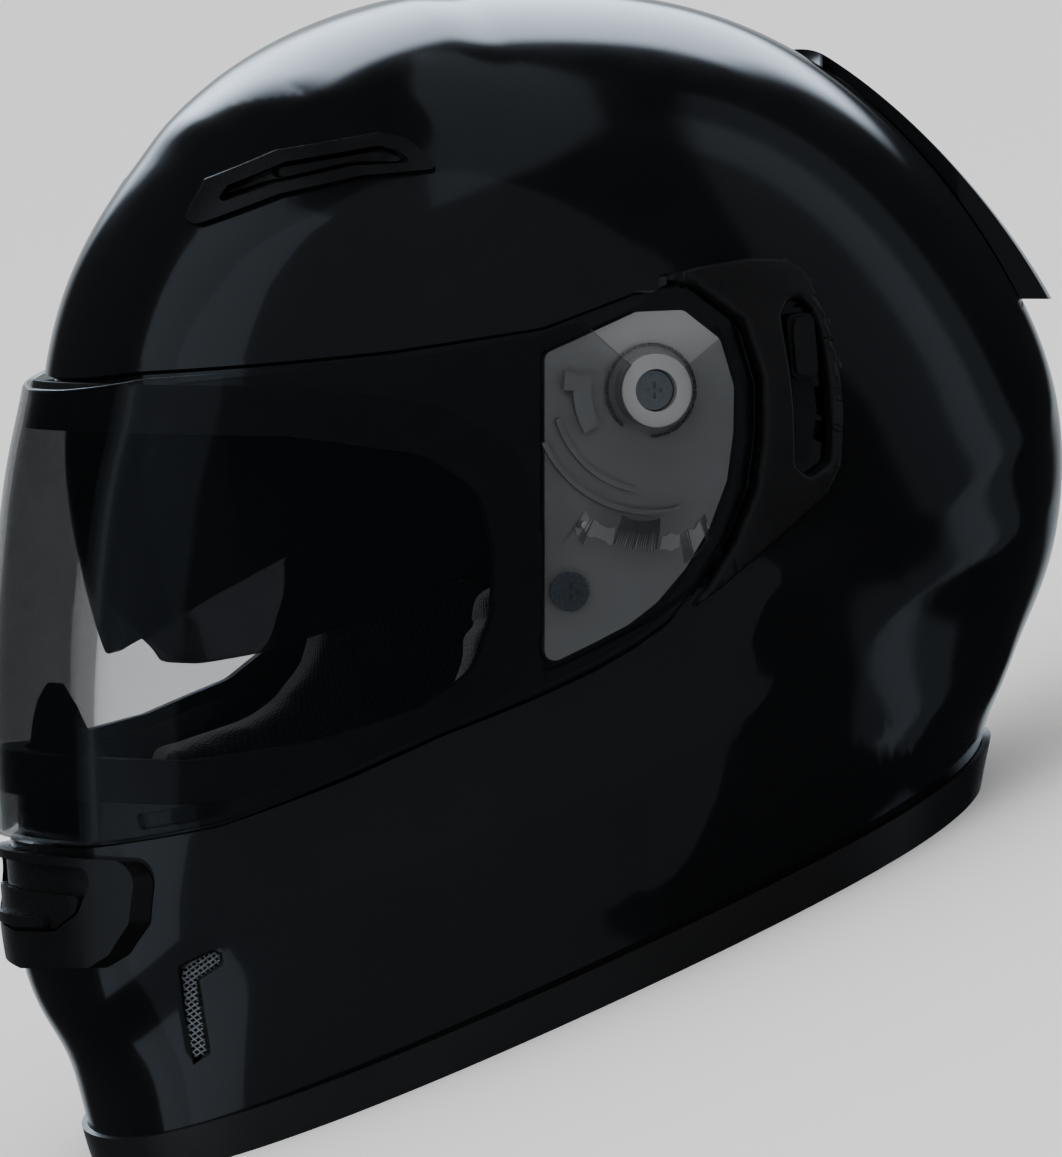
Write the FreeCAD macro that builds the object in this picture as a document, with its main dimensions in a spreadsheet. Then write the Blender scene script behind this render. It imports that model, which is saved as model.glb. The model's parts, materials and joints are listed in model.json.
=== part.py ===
"""Full-face motorcycle helmet with a clear visor and a drop-down sun shade, as a parametric assembly.

The pieces are drawn in the head frame: its origin is midway between the visor's two pivots, +X to the
wearer's left, +Y to the back and +Z up as worn. Each finished piece is then tilted by one placement, so
that the helmet stands on its bottom edge, with the row frame's origin under the middle of its box.
"""

import FreeCAD, Part
import math
import os

V = FreeCAD.Vector

DIMS = [
    # alias, value, meaning (millimetres, or degrees where it says so)
    ("stand_tilt", 24.0, "degrees the worn helmet leans forward from how it stands"),
    ("pivot_height", 151.4, "visor axis above the table"),
    ("fore_shift", 31.84, "visor axis behind the middle of the helmet"),
    ("half_width", 122.5, "shell, half its width at the visor axis"),
    ("roundness", 2.3, "exponent of the shell's cross section"),
    ("shell_wall", 4.6, "moulded shell wall"),
    ("visor_bed", 2.6, "depth of the bed that the visor lies in"),
    ("layer_gap", 0.3, "air between one layer and the next"),
    ("visor_half_width", 125.2, "visor, half its width at its axis"),
    ("visor_wall", 2.2, "visor sheet"),
    ("shade_half_width", 108.0, "sun shade, half its width at its hinge"),
    ("shade_wall", 2.4, "sun shade sheet"),
    ("shade_drop", 36.0, "sun shade hinge below the visor axis"),
    ("pocket_floor", 113.0, "side pocket floor from the middle plane"),
    ("pocket_back", 109.5, "inner face of the side pocket's wall"),
    ("edge_height", 11.0, "bottom edge trim, its height"),
    ("edge_seat", 4.0, "lower edge of the shell above the table"),
    ("reach", 260.0, "length of a cut that goes right through"),
    ("plate_top", 116.8, "base plate's outer face from the middle plane"),
    ("boss_radius", 10.1, "pivot boss that the visor turns on"),
    ("boss_end", 123.4, "outer end of the pivot boss"),
    ("pivot_hole", 10.2, "hole in the visor for the boss"),
    ("ratchet_radius", 42.0, "ratchet slot from the visor axis"),
    ("screw_radius", 2.0, "shank of a base plate screw"),
    ("screw_head", 5.4, "head of a base plate screw"),
    ("pin_radius", 2.45, "sun shade hinge pin"),
    ("pin_hole", 2.5, "hole in the sun shade for its pin"),
    ("strap_width", 25.0, "chin strap webbing"),
    ("strap_thick", 2.2, "chin strap webbing thickness"),
    ("ring_wire", 2.0, "radius of the D-rings' wire"),
]

doc = FreeCAD.newDocument("full_face_helmet")
sheet = doc.addObject("Spreadsheet::Sheet", "dims")


def fill_sheet():
    """Write each driving dimension as a plain number with an alias."""
    for row, (alias, value, meaning) in enumerate(DIMS, start=1):
        sheet.set(f"A{row}", alias)
        sheet.set(f"B{row}", str(value))
        sheet.set(f"C{row}", meaning)
        sheet.setAlias(f"B{row}", alias)
    doc.recompute()


def dim(alias):
    """One driving dimension, read back from the sheet."""
    return float(sheet.get(alias))


fill_sheet()

STAND = FreeCAD.Placement(
    V(0, dim("fore_shift"), dim("pivot_height")),
    FreeCAD.Rotation(V(1, 0, 0), -dim("stand_tilt")),
)
HELPERS = {}
FINISHED = []

# --- outlines and forms -------------------------------------------------------------------------

# Middle-plane outlines as (Y, Z). Where the neck opening is, they close below the helmet's edge.
SHELL_PROFILE = [
    (-139.5, 0), (-133.5, 26), (-121.5, 50), (-103, 73), (-76, 94), (-40, 107.5), (0, 111), (40, 106.5),
    (77, 90), (107, 64), (130, 33), (144, 2), (147, -30), (142, -56), (131, -80), (125, -95), (121, -112),
    (112, -160), (85, -220), (30, -270), (-40, -285), (-95, -262), (-126.5, -213), (-132, -194),
    (-141.5, -177), (-147, -160), (-149, -140), (-150, -120), (-148, -90), (-145, -50), (-141.5, -20),
]
VISOR_PROFILE = [
    (-145.4, 0), (-141, 28), (-130, 56), (-110, 82), (-80, 102), (-42, 115), (0, 119), (42, 114),
    (80, 98), (112, 72), (138, 38), (152, 2), (155, -30), (150, -60), (135, -100), (120, -165),
    (88, -228), (30, -275), (-42, -290), (-98, -262), (-132, -213), (-148, -170), (-154, -127),
    (-155.4, -100), (-155.2, -75), (-153.3, -48), (-150, -22),
]
# The spoiler follows the crown, then runs straight on where the shell turns down.
SPOILER_BACK = [(40, 106.5), (77, 90), (108, 64.8), (133.6, 34.6), (148.5, 4), (148, -30)]
SPOILER_PROFILE = SHELL_PROFILE[:7] + SPOILER_BACK + SHELL_PROFILE[13:]
# These two are drawn about the sun shade's hinge: the shade's own arc, and the foam behind its path.
SHADE_PROFILE = [
    (-134.0, 23), (-131.5, 40), (-120, 66), (-98, 94), (-60, 120), (0, 134), (60, 122), (104, 88),
    (128, 40), (134, -10), (122, -70), (80, -118), (10, -135), (-60, -118), (-104, -77), (-122.3, -41),
    (-130.6, -11), (-133.6, 8),
]
FOAM_PROFILE = [
    (-123.5, 0), (-119, 34), (-103, 68), (-76, 97), (-40, 117), (0, 124), (42, 120), (80, 102),
    (108, 70), (122, 34), (124, -6), (120, -50), (108, -110), (70, -160), (0, -185), (-70, -165),
    (-112, -110), (-121, -50),
]
FOAM_INSIDE = [
    (-107.5, 5), (-103, 38), (-88, 68), (-62, 93), (-30, 107), (0, 110.5), (32, 107), (66, 91),
    (92, 65), (106, 32), (108.5, 0), (106, -50), (96, -110), (62, -160), (0, -180), (-62, -160),
    (-96, -110), (-106, -50),
]
SECTION_SCALES = [0.2, 0.42, 0.62, 0.78, 0.9, 0.975, 1.0]


def form(name, profile, half_width, grow=0.0, drop=0.0):
    """Solid lofted across the head: the outline shrinks towards both sides as a superellipse does.

    Its sections lie in planes X = constant. At a section scaled by k the outline is k times its size
    about the axis, and X is (1 - k^n)^(1/n) of the half width. grow moves the whole surface outwards.
    """
    if name in HELPERS:
        return HELPERS[name]
    power = dim("roundness")
    stations = [(-((1 - k**power) ** (1 / power)), k) for k in SECTION_SCALES]
    stations += [(-x, k) for x, k in reversed(stations[:-1])]
    wires = []
    for across, scale in stations:
        points = []
        for y, z in profile:
            radius = math.hypot(y, z)
            factor = scale * (radius + grow) / radius
            points.append(V(across * (half_width + grow), y * factor, z * factor - drop))
        curve = Part.BSplineCurve()
        curve.interpolate(points, PeriodicFlag=True)
        wires.append(Part.Wire([curve.toShape()]))
    solid = doc.addObject("Part::Feature", name)
    solid.Shape = Part.makeLoft(wires, True, False)
    HELPERS[name] = solid
    return solid


def shell_form(grow):
    """The shell's outer surface, moved outwards by grow."""
    return form(f"shell_form_{label_of(grow)}", SHELL_PROFILE, dim("half_width"), grow)


def visor_form(grow):
    """The visor's outer surface, moved outwards by grow."""
    return form(f"visor_form_{label_of(grow)}", VISOR_PROFILE, dim("visor_half_width"), grow)


def shade_form(grow):
    """The sun shade's outer surface, moved outwards by grow."""
    name = f"shade_form_{label_of(grow)}"
    return form(name, SHADE_PROFILE, dim("shade_half_width"), grow, dim("shade_drop"))


def label_of(number):
    """A number as part of an object's name."""
    return f"{number:+.2f}".replace("+", "out").replace("-", "in").replace(".", "_")


def rounded_wire(points, radius, place):
    """Closed wire through corner points, each corner rounded by an arc of up to radius."""
    corners = [V(*p, 0) for p in points]
    edges = []
    starts, ends, middles = [], [], []
    count = len(corners)
    for i, corner in enumerate(corners):
        before = (corners[i - 1] - corner)
        after = (corners[(i + 1) % count] - corner)
        room = 0.45 * min(before.Length, after.Length)
        half_turn = before.getAngle(after) / 2
        run = min(room, radius / math.tan(half_turn))
        starts.append(corner + before.normalize() * run)
        ends.append(corner + after.normalize() * run)
        arc_radius = run * math.tan(half_turn)
        inward = (before + after)
        if inward.Length < 1e-6:
            middles.append(None)
            continue
        reach_in = math.hypot(run, arc_radius) - arc_radius
        middles.append(corner + inward.normalize() * reach_in)
    for i in range(count):
        if middles[i] is not None:
            edges.append(Part.Arc(place(starts[i]), place(middles[i]), place(ends[i])).toShape())
        following = starts[(i + 1) % count]
        if (following - ends[i]).Length > 1e-6:
            edges.append(Part.LineSegment(place(ends[i]), place(following)).toShape())
    return Part.Wire(edges)


VIEWS = {
    # how an outline's two numbers become a point, and the way that its prism runs
    "side": (lambda p, at: V(at, p.x, p.y), V(1, 0, 0)),
    "front": (lambda p, at: V(p.x, at, p.y), V(0, 1, 0)),
    "top": (lambda p, at: V(p.x, p.y, at), V(0, 0, 1)),
}


def prism(name, view, points, start, radius=2.0, length="reach"):
    """Straight prism of a rounded outline; its length is bound to a cell of the sheet."""
    if name in HELPERS:
        return HELPERS[name]
    put, direction = VIEWS[view]
    outline = doc.addObject("Part::Feature", name + "_outline")
    outline.Shape = rounded_wire(points, radius, lambda p: put(p, start))
    solid = doc.addObject("Part::Extrusion", name)
    solid.Base = outline
    solid.DirMode = "Custom"
    solid.Dir = direction
    solid.Solid = True
    solid.setExpression("LengthFwd", f"dims.{length}")
    HELPERS[name] = solid
    return solid


def table_slab(name, low, high):
    """Everything between two heights above the table, in the head frame."""
    if name in HELPERS:
        return HELPERS[name]
    side = 2 * dim("reach")
    slab = doc.addObject("Part::Box", name)
    slab.setExpression("Length", "2 * dims.reach")
    slab.setExpression("Width", "2 * dims.reach")
    slab.Height = high - low
    corner = FreeCAD.Placement(V(-side / 2, -side / 2, low), FreeCAD.Rotation())
    slab.Placement = STAND.inverse().multiply(corner)
    HELPERS[name] = slab
    return slab


def cut(name, base, *tools):
    """base less each tool in turn."""
    for step, tool in enumerate(tools):
        last = step == len(tools) - 1
        piece = doc.addObject("Part::Cut", name if last else f"{name}_cut_{step}")
        piece.Base, piece.Tool = base, tool
        piece.Refine = False
        base = piece
    return base


def common(name, base, *tools):
    """What base shares with every tool."""
    for step, tool in enumerate(tools):
        last = step == len(tools) - 1
        piece = doc.addObject("Part::Common", name if last else f"{name}_common_{step}")
        piece.Base, piece.Tool = base, tool
        piece.Refine = False
        base = piece
    return base


def fuse(name, base, *others):
    """base with each other piece joined to it in turn."""
    for step, other in enumerate(others):
        last = step == len(others) - 1
        piece = doc.addObject("Part::Fuse", name if last else f"{name}_join_{step}")
        piece.Base, piece.Tool = base, other
        piece.Refine = False
        base = piece
    return base


def layer(name, outer, inner):
    """What lies between two forms: one solid bounded by both surfaces."""
    if name not in HELPERS:
        between = doc.addObject("Part::Feature", name)
        skins = [outer.Shape.Solids[0].Shells[0], inner.Shape.Solids[0].Shells[0].reversed()]
        between.Shape = Part.makeSolid(Part.Compound(skins))
        HELPERS[name] = between
    return HELPERS[name]


def finish(piece, label, placement=None):
    """Name a finished piece and stand it on the table."""
    piece.Label = label
    piece.Placement = STAND.multiply(placement) if placement else STAND
    FINISHED.append(piece)
    return piece


def mirrored(source, label):
    """The same piece on the wearer's right."""
    twin = doc.addObject("Part::Mirroring", label + "_twin")
    twin.Source = source
    twin.Base = V(0, 0, 0)
    twin.Normal = V(1, 0, 0)
    twin.Label = label
    FINISHED.append(twin)
    return twin


def both_sides(piece, name, placement=None):
    """A left piece and its right-hand twin."""
    left = finish(piece, name + "_left", placement)
    return left, mirrored(left, name + "_right")


def cylinder(name, radius, x_from, x_to, y=0.0, z=0.0):
    """Round bar along X. radius is a cell's alias or a number."""
    bar = doc.addObject("Part::Cylinder", name)
    if isinstance(radius, str):
        bar.setExpression("Radius", f"dims.{radius}")
    else:
        bar.Radius = radius
    bar.Height = x_to - x_from
    bar.Placement = FreeCAD.Placement(V(x_from, y, z), FreeCAD.Rotation(V(0, 1, 0), 90))
    return bar


def arc_band(name, inner, outer, from_deg, to_deg, x_from, x_to):
    """Part of a flat ring about the visor axis, between two angles measured from +Y towards +Z."""
    start, end = math.radians(from_deg), math.radians(to_deg)
    middle = (start + end) / 2

    def at(radius, angle):
        return V(x_from, radius * math.cos(angle), radius * math.sin(angle))

    edges = [
        Part.Arc(at(outer, start), at(outer, middle), at(outer, end)).toShape(),
        Part.LineSegment(at(outer, end), at(inner, end)).toShape(),
        Part.Arc(at(inner, end), at(inner, middle), at(inner, start)).toShape(),
        Part.LineSegment(at(inner, start), at(outer, start)).toShape(),
    ]
    band = doc.addObject("Part::Feature", name)
    band.Shape = Part.Face(Part.Wire(edges)).extrude(V(x_to - x_from, 0, 0))
    return band


# --- side-view outlines (Y, Z) -------------------------------------------------------------------

FAR = -220
PORT_HOLE = [
    (FAR, -9), (-97, -9.5), (-62, -14), (-45, -24), (-40.5, -44), (-41.5, -64), (-47, -81),
    (-62, -91), (-90, -100), (-121, -105.5), (FAR, -106),
]
PORT_INSIDE = [
    (FAR, -12), (-97, -12.6), (-64, -17.5), (-49, -27), (-44.5, -44), (-45, -62), (-50, -77),
    (-64, -87), (-91, -96.5), (-121, -102.3), (FAR, -103),
]
PORT_OUTSIDE = [
    (FAR, 0.5), (-97, 1.2), (-60, -4), (-38, -16), (-31.5, -42), (-32, -68), (-41, -84),
    (-58, -92.5), (-88, -106), (-119, -114.5), (FAR, -115),
]
VISOR_OUTLINE = [
    (FAR, -1), (-145, -0.8), (-130, 3.2), (-98, 6.5), (-72, 9.5), (-31, 16), (-4, 26), (11, 26.5),
    (24, 17), (28.5, 1), (28.3, -13), (26.5, -27), (20.6, -41), (13.3, -52.4), (4.5, -63), (-4.5, -69.3),
    (-16, -75.6), (-33.4, -83.5), (-59, -93.8), (-83, -105.5), (-115, -119.2), (-144, -126.9), (FAR, -127.4),
]
POD_OUTLINE = [
    (0.5, 30.5), (13.3, 34), (28, 36.3), (39.7, 36), (45, 32.5), (50.5, 21.2), (54, 7), (55, -7),
    (54.4, -21.2), (50.5, -29), (42.6, -35.5), (30.9, -45), (19.2, -54.6), (8.4, -62.2),
    (15, -54), (22.6, -42), (28.8, -27.5), (30.6, -13), (30.6, 3), (25.5, 19), (12, 29),
]
PLATE_OUTLINE = [
    (-30, 10), (-4, 21.5), (9.5, 22), (20, 14), (24, 1), (23.8, -12), (22, -25), (17, -38),
    (10, -49.5), (2, -58.5), (-6, -64.5), (-16, -69.5), (-30, -76),
]
POCKET_OUTLINE = [
    (-32, 11.5), (-4, 23.5), (2, 28.5), (14, 31.5), (28, 33.8), (38.5, 33.5), (43, 30.5), (48, 20),
    (51.3, 7), (52.3, -7), (51.8, -20), (48.3, -27), (41, -33.2), (29.5, -42.5), (18, -51.5),
    (7, -59.5), (-6, -67), (-16, -72), (-32, -79),
]
SLOT_OUTLINE = [
    (36.5, 20), (38.5, 24), (42, 25.5), (46, 22), (48, 16), (50.6, 2), (51.6, -12), (51, -20),
    (45, -24.4), (40.5, -21), (40, -6), (39, 4),
]


def pair_prism(name, outline, radius):
    """Prism through both sides of the helmet."""
    return prism(name, "side", outline, -dim("reach") / 2, radius)


def shell_layer(outer, inner):
    """The layer between two depths of the shell's surface."""
    return layer(f"layer_{label_of(outer)}_{label_of(inner)}", shell_form(outer), shell_form(inner))


# --- the shell and what is fixed on it -------------------------------------------------------------

HALF_SPACE = 300.0
PORT_ROUND = 12.0


def outer_shell():
    """Moulded shell with its eye port, visor bed, two side pockets and vent holes."""
    pockets, blocks = [], []
    for side, sign in (("l", 1), ("r", -1)):
        back = dim("pocket_back") if sign > 0 else -dim("reach") - dim("pocket_back")
        floor = dim("pocket_floor") if sign > 0 else -dim("reach") - dim("pocket_floor")
        blocks.append(prism(f"pocket_block_{side}", "side", grown(POCKET_OUTLINE, 3.2), back, 4.0))
        pockets.append(prism(f"pocket_{side}", "side", POCKET_OUTLINE, floor, 4.0))
    hollow = cut("shell_hollow", shell_form(-dim("shell_wall")), *blocks)
    bed_outline = pair_prism("bed_prism", grown(VISOR_OUTLINE, 1.4), 6.0)
    bed = cut("visor_bed", bed_outline, shell_form(-dim("visor_bed")))
    small = [cylinder(f"screw_way_{i}", dim("screw_radius") + 0.15, -HALF_SPACE, HALF_SPACE, y, z)
             for i, (y, z) in enumerate(SCREW_PLACES)]
    small += [brow_hole("brow_hole_l", 1), brow_hole("brow_hole_r", -1)]
    small += [jaw_hole("jaw_hole_l", 1), jaw_hole("jaw_hole_r", -1)]
    body = cut("shell_body", shell_form(0), hollow, pair_prism("port_hole", PORT_HOLE, PORT_ROUND),
               compound("shell_holes", small), compound("shell_pockets", pockets), bed,
               table_slab("under_shell", -HALF_SPACE, dim("edge_seat")))
    finish(body, "outer_shell")


def grown(outline, by):
    """The same outline with each corner moved outwards by about that much, except far in front."""
    area = sum(a[0] * b[1] - b[0] * a[1] for a, b in zip(outline, outline[1:] + outline[:1]))
    turn = 1 if area > 0 else -1
    result = []
    count = len(outline)
    for i, (y, z) in enumerate(outline):
        before, after = outline[i - 1], outline[(i + 1) % count]
        along = V(after[0] - before[0], after[1] - before[1], 0).normalize()
        result.append((y + turn * along.y * by, z - turn * along.x * by))
    return result


SCREW_PLACES = [(0.0, 0.0), (-23.4, -55.2)]

BROW_OUTLINE = [(-117.6, 43.8), (-109, 58), (-93, 66), (-68, 71), (-62, 69.5), (-55, 61), (-75, 59),
                (-95, 54)]
BROW_TRAY = [(-112, 48.6), (-106.5, 56.8), (-92, 63.8), (-68.6, 68.6), (-63.6, 67.2), (-58.8, 62.2),
             (-75.5, 61), (-95, 56)]
BROW_CHANNEL = [(-109.5, 50.8), (-105.5, 56.2), (-91.8, 62.8), (-69.2, 67.3), (-65, 66), (-61.5, 62.6),
                (-76, 61.8), (-94.8, 57)]
BROW_INNER = 38.0
BROW_SLIDER = [(-94, 58.2), (-93, 61.2), (-70.5, 65.6), (-67, 64.8), (-68.5, 62.9), (-76, 63.1)]


def brow_hole(name, side):
    """Prism that opens the shell under a brow vent, on one side only."""
    start = BROW_INNER if side > 0 else -BROW_INNER - dim("reach")
    return prism(name, "side", grown(BROW_TRAY, 0.5), start, 2.0)


def brow_vents():
    """Framed intake above each brow: a tray through the shell, ribs on a slider, and a mesh floor."""
    flange = common("brow_flange", shell_layer(1.2, 0.3),
                    prism("brow_prism", "side", BROW_OUTLINE, BROW_INNER, 1.5))
    tray = common("brow_tray", shell_layer(1.2, -7.0),
                  prism("brow_tray_prism", "side", BROW_TRAY, BROW_INNER + 0.5, 2.0))
    channel = common("brow_channel", shell_layer(3.0, -5.4),
                     prism("brow_channel_prism", "side", BROW_CHANNEL, BROW_INNER + 3.0, 1.2))
    frame = cut("brow_frame", fuse("brow_blank", flange, tray), channel)
    both_sides(frame, "brow_vent_frame")
    slider = common("brow_slider", shell_layer(0.4, -3.6),
                    prism("brow_slider_prism", "side", BROW_SLIDER, BROW_INNER, 0.8))
    both_sides(slider, "brow_vent_slider")
    mesh = common("brow_mesh", shell_layer(-4.6, -5.2),
                  prism("brow_mesh_prism", "side", grown(BROW_CHANNEL, -0.5), BROW_INNER + 3.5, 1.0))
    both_sides(mesh, "brow_vent_mesh")


JAW_OUTLINE = [(-121.5, -160.5), (-112.5, -154.5), (-111.5, -158.5), (-117, -163.5), (-113.2, -184),
               (-116.5, -187)]


def jaw_hole(name, side):
    """Prism for the slot behind a jaw vent, on one side only."""
    start = 30.0 if side > 0 else -30.0 - dim("reach")
    return prism(name, "side", JAW_OUTLINE, start, 0.8)


def jaw_vents():
    """Wire mesh behind the slot at each side of the jaw."""
    sheet_layer = shell_layer(-3.2, -4.2)
    mesh = common("jaw_mesh", sheet_layer, prism("jaw_mesh_prism", "side", grown(JAW_OUTLINE, -0.5), 30.5, 0.6))
    both_sides(mesh, "jaw_vent_mesh")


def bottom_edge():
    """Moulded edge trim with a groove for the shell, flat where the helmet stands."""
    band = common("edge_band", shell_layer(2.6, -7.4), table_slab("edge_slab", 0, dim("edge_height")))
    groove = common("edge_groove", shell_layer(0.3, -4.9),
                    table_slab("groove_slab", dim("edge_seat") - dim("layer_gap"), HALF_SPACE))
    finish(cut("edge_trim", band, groove), "bottom_edge_trim")


def port_gasket():
    """Rubber seal round the eye port: a face that the visor closes on and a lip in the shell's edge."""
    face = layer("gasket_face", visor_form(-dim("visor_wall") - 0.5),
                 shell_form(-dim("visor_bed") + 0.25))
    ring = common("gasket_front", face, pair_prism("port_outside", PORT_OUTSIDE, PORT_ROUND))
    lip = common("gasket_lip", shell_layer(-dim("visor_bed") + 0.5, -dim("shell_wall") - 0.2),
                 pair_prism("lip_prism", grown(PORT_HOLE, -0.3), PORT_ROUND))
    blank = fuse("gasket_blank", ring, lip)
    whole = cut("gasket_body", blank, pair_prism("port_inside", PORT_INSIDE, PORT_ROUND))
    finish(whole, "eye_port_gasket")


CHIN_VENT = [(-71, -130.5), (71, -130.5), (66, -148), (57, -157), (48, -161), (0, -163.5), (-48, -161),
             (-57, -157), (-66, -148)]
CHIN_SCOOP = [(-57, -133), (57, -133), (47, -146), (34, -151.5), (0, -153), (-34, -151.5), (-47, -146)]
CHIN_FLAP = [(-47, -141.2), (47, -141.2), (44, -145.8), (33, -150.6), (0, -152), (-33, -150.6), (-44, -145.8)]
CHIN_LIP = [(-30, -148.2), (30, -148.2), (29, -150.6), (0, -151.6), (-29, -150.6)]


def chin_vent():
    """Chin intake: a raised frame with a scoop, and a flap that slides up to close it."""
    start = -dim("reach") + 20.0
    frame = common("chin_frame_blank", shell_layer(5.6, 0.3),
                   prism("chin_prism", "front", CHIN_VENT, start, 6.0))
    scoop = common("chin_scoop", shell_layer(9.0, 1.6),
                   prism("chin_scoop_prism", "front", CHIN_SCOOP, start, 5.0))
    finish(cut("chin_frame", frame, scoop), "chin_vent_frame")
    plate = common("chin_flap_plate", shell_layer(4.4, 2.1),
                   prism("chin_flap_prism", "front", CHIN_FLAP, start, 3.0))
    lip = common("chin_flap_lip", shell_layer(7.2, 4.2), prism("chin_lip_prism", "front", CHIN_LIP, start, 1.0))
    finish(fuse("chin_flap", plate, lip), "chin_vent_flap")


SPOILER_PLAN = [(-26, 76), (26, 76), (46, 110), (58, 143), (58, 170), (-58, 170), (-58, 143), (-46, 110)]
DUCT_PLAN = [(-40, 118), (40, 118), (46, 180), (-46, 180)]
EXHAUST_PLAN = [(-39, 124), (39, 124), (39, 126), (-39, 126)]


def rear_spoiler():
    """Exhaust spoiler on the back of the crown, open at its blunt end, with a mesh inside."""
    form_out = form("spoiler_form", SPOILER_PROFILE, dim("half_width"), 3.4)
    form_in = form("spoiler_inside", SPOILER_PROFILE, dim("half_width"), 1.2)
    outline = prism("spoiler_plan", "top", SPOILER_PLAN, 24.0, 8.0)
    blank = common("spoiler_blank", layer("spoiler_layer", form_out, shell_form(0.3)), outline)
    duct_plan = prism("spoiler_duct_plan", "top", DUCT_PLAN, 0.0, 4.0)
    duct = common("spoiler_duct", layer("spoiler_duct_layer", form_in, shell_form(1.6)), duct_plan)
    finish(cut("spoiler", blank, duct), "rear_spoiler")
    mesh_form = form("spoiler_mesh_form", SPOILER_PROFILE, dim("half_width"), 1.0)
    mesh_plan = prism("spoiler_mesh_plan", "top", EXHAUST_PLAN, 0.0, 0.2)
    mesh = common("spoiler_mesh", layer("mesh_layer", mesh_form, shell_form(1.8)), mesh_plan)
    finish(mesh, "rear_exhaust_mesh")


def side_pods():
    """Cover over the back of each side pocket; the left one has the sun shade's slot."""
    blank = common("pod_blank", layer("pod_layer", shell_form(2.2), shell_form(-3.2)),
                   prism("pod_prism", "side", grown(POD_OUTLINE, -0.2), 90.0, 2.0))
    seat = common("pod_seat", layer("pod_seat_layer", shell_form(0.3), shell_form(-6.0)),
                  cut("pod_seat_ring", prism("pod_seat_prism", "side", grown(POD_OUTLINE, 6), 88.0, 2.0),
                      prism("pod_seat_hole", "side", grown(POCKET_OUTLINE, -0.8), 88.0, 4.0)))
    floor_top = dim("pocket_floor") + dim("layer_gap")
    floor = prism("pod_floor", "side", grown(POCKET_OUTLINE, -0.4), floor_top - dim("reach"), 4.0)
    cover = cut("pod_cover", blank, seat, floor)
    right = mirrored_only(cover, "side_pod_right")
    slot = prism("pod_slot", "side", SLOT_OUTLINE, 100.0, 3.0)
    finish(cut("pod_cover_left", cover, slot), "side_pod_left")
    return right


def mirrored_only(source, label):
    """A right-hand piece whose left-hand source isn't itself a finished piece."""
    twin = doc.addObject("Part::Mirroring", label + "_twin")
    twin.Source = source
    twin.Base = V(0, 0, 0)
    twin.Normal = V(1, 0, 0)
    return finish(twin, label)


# --- visor mechanism ------------------------------------------------------------------------------

NUB_DEG = -118.5
SLOT_FROM, SLOT_TO = -121.6, -67.4
LEVER_FROM, LEVER_TO = 168.0, 212.0


def polar(radius, degrees):
    """A point about the visor axis, as (Y, Z)."""
    return radius * math.cos(math.radians(degrees)), radius * math.sin(math.radians(degrees))


def side_sketch(body, name, x_at, geometry):
    """Sketch in the body's YZ plane, moved out along X."""
    sketch = body.newObject("Sketcher::SketchObject", name)
    plane = [f for f in body.Origin.OriginFeatures if f.Role == "YZ_Plane"][0]
    sketch.AttachmentSupport = (plane, "")
    sketch.MapMode = "FlatFace"
    sketch.AttachmentOffset = FreeCAD.Placement(V(0, 0, x_at), FreeCAD.Rotation())
    sketch.addGeometry(geometry, False)
    return sketch


def circle(radius, y=0.0, z=0.0):
    """A sketch circle."""
    return Part.Circle(V(y, z, 0), V(0, 0, 1), radius)


def flat_outline(points, radius):
    """The edges of a rounded outline as sketch geometry."""
    return [edge.Curve.trim(*edge.ParameterRange) for edge in rounded_wire(points, radius, lambda p: p).Edges]


def pad(body, sketch, length):
    """Pad of a sketch; length is a number or an expression."""
    feature = body.newObject("PartDesign::Pad", sketch.Name + "_pad")
    feature.Profile = sketch
    if isinstance(length, str):
        feature.setExpression("Length", length)
    else:
        feature.Length = length
    return feature


def pocket(body, sketch, length):
    """Pocket of a sketch, cut back towards the middle of the helmet."""
    feature = body.newObject("PartDesign::Pocket", sketch.Name + "_pocket")
    feature.Profile = sketch
    feature.Length = length
    return feature


def base_plates():
    """Plate in each side pocket that carries the visor: boss, detent nub, ribs and two screw holes."""
    floor = dim("pocket_floor") + dim("layer_gap")
    top = dim("plate_top")
    body = doc.addObject("PartDesign::Body", "base_plate")
    plate = side_sketch(body, "plate_outline", floor, flat_outline(PLATE_OUTLINE, 3.0))
    pad(body, plate, "dims.plate_top - dims.pocket_floor - dims.layer_gap")
    boss = side_sketch(body, "boss_circle", top - 0.5, [circle(dim("boss_radius"))])
    pad(body, boss, "dims.boss_end - dims.plate_top + 0.5")
    nub = side_sketch(body, "nub_circle", top - 0.5, [circle(1.1, *polar(dim("ratchet_radius"), NUB_DEG))])
    pad(body, nub, 6.4)
    for name, radius, start, end in (("rib_inner", 27.0, 196, 262), ("rib_outer", 33.0, 205, 285)):
        edges = band_edges(radius, radius + 1.4, start, end)
        rib = side_sketch(body, name, top - 0.5, edges)
        pad(body, rib, 1.9)
    head = side_sketch(body, "head_seat", dim("boss_end"), [circle(dim("screw_head") + 0.5)])
    pocket(body, head, dim("boss_end") - top - 1.2)
    for index, (y, z) in enumerate(SCREW_PLACES):
        hole = circle(dim("screw_radius") + 0.2, y, z)
        way = side_sketch(body, f"screw_hole_{index}", dim("boss_end"), [hole])
        pocket(body, way, 20.0)
    both_sides(body, "visor_base_plate")


def band_edges(inner, outer, from_deg, to_deg):
    """Part of a flat ring as sketch geometry."""
    start, end = math.radians(from_deg), math.radians(to_deg)

    def at(radius, angle):
        return V(radius * math.cos(angle), radius * math.sin(angle), 0)

    centre = V(0, 0, 0)
    return [
        Part.ArcOfCircle(Part.Circle(centre, V(0, 0, 1), outer), start, end),
        Part.LineSegment(at(outer, end), at(inner, end)),
        Part.ArcOfCircle(Part.Circle(centre, V(0, 0, 1), inner), start, end),
        Part.LineSegment(at(inner, start), at(outer, start)),
    ]


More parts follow.
